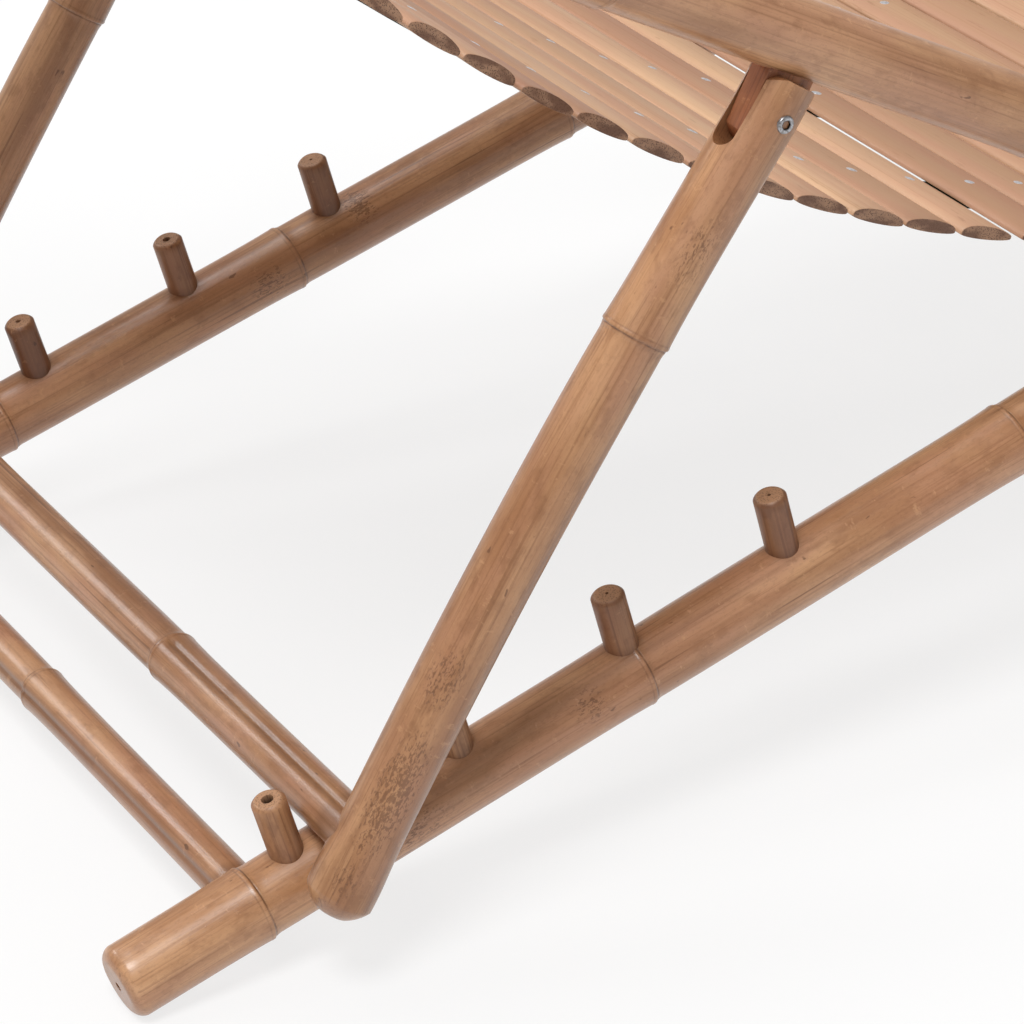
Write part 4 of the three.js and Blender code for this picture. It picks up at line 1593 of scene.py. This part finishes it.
@dataclass
class Studio:
    """Floor, light and camera."""

    floor_reach: float = 12.0
    floor_drop: float = 0.2 * MM
    sky: float = 0.34
    lamps: Tuple[Tuple[str, Point, float, float], ...] = (
        ("key", (-1.95, -1.5, 4.15), 1.6, 134.0),
        ("top", (-0.6, 1.0, 3.4), 1.8, 50.0),
        ("back", (-1.85, 2.95, 2.3), 1.3, 26.0))
    lamp_aim: Point = (0.0, 0.0, 0.2)
    camera_place: Point = (-1.288, -1.78, 1.2511)
    camera_direction: Point = (0.45661, 0.73869, -0.49582)
    camera_lens: float = 145.07
    camera_sensor: float = 36.0

    def build(self) -> None:
        """Builds the stage."""
        self.floor()
        self.world()
        self.light()
        self.camera()

    def floor(self) -> None:
        """Makes the plain pale floor."""
        far, low = self.floor_reach, -self.floor_drop
        spots = np.array([[-far, -far, low], [far, -far, low], [far, far, low],
                          [-far, far, low]])
        Surface(spots, [[0, 1, 2, 3]]).to_object("floor", floor_material())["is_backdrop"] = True

    def world(self) -> None:
        """Makes a pale sky that looks white to the camera."""
        world = bpy.data.worlds.new("studio")
        bpy.context.scene.world = world
        g = Graph(world, "Background")
        g.feed(g.shader.inputs["Color"], WHITE)
        g.feed(g.shader.inputs["Strength"], self.sky)
        seen = g.node("ShaderNodeBackground", {"Color": WHITE, "Strength": 1.0})
        path = g.node("ShaderNodeLightPath", {}).outputs
        g.show(path["Is Camera Ray"], g.shader, seen, "World Output")

    def light(self) -> None:
        """Makes the soft lamps."""
        for name, place, size, power in self.lamps:
            data = bpy.data.lights.new(name, "AREA")
            data.shape = "DISK"
            data.size = size
            data.energy = power
            self.aim(linked(name, data), place, Vector(self.lamp_aim) - Vector(place))

    def camera(self) -> None:
        """Makes the camera at the photograph's angle."""
        data = bpy.data.cameras.new("camera")
        data.lens = self.camera_lens
        data.sensor_width = self.camera_sensor
        data.sensor_fit = "HORIZONTAL"
        data.clip_start = 0.05
        data.clip_end = 60
        camera = linked("camera", data)
        self.aim(camera, self.camera_place, Vector(self.camera_direction))
        bpy.context.scene.camera = camera

    def aim(self, thing: Object, place: Point,
            direction: Vector) -> None:
        """Puts a lamp or camera at a place and turns it to a direction."""
        thing.location = place
        thing.rotation_euler = direction.to_track_quat("-Z", "Y").to_euler()


def main() -> None:
    """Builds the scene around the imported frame."""
    logging.basicConfig(level=logging.INFO)
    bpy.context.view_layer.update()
    bpy.context.scene.view_settings.view_transform = "Standard"
    layout = Layout.from_frame()
    finishes = Finishes()
    for assembly in (BaseFrame, MainFrame, PropFrame, Mat):
        assembly(layout, finishes).build()
    Studio().build()
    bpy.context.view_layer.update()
    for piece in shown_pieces():
        LOG.info("built %s", getattr(piece, "name", piece))


if __name__ == "__main__":
    main()
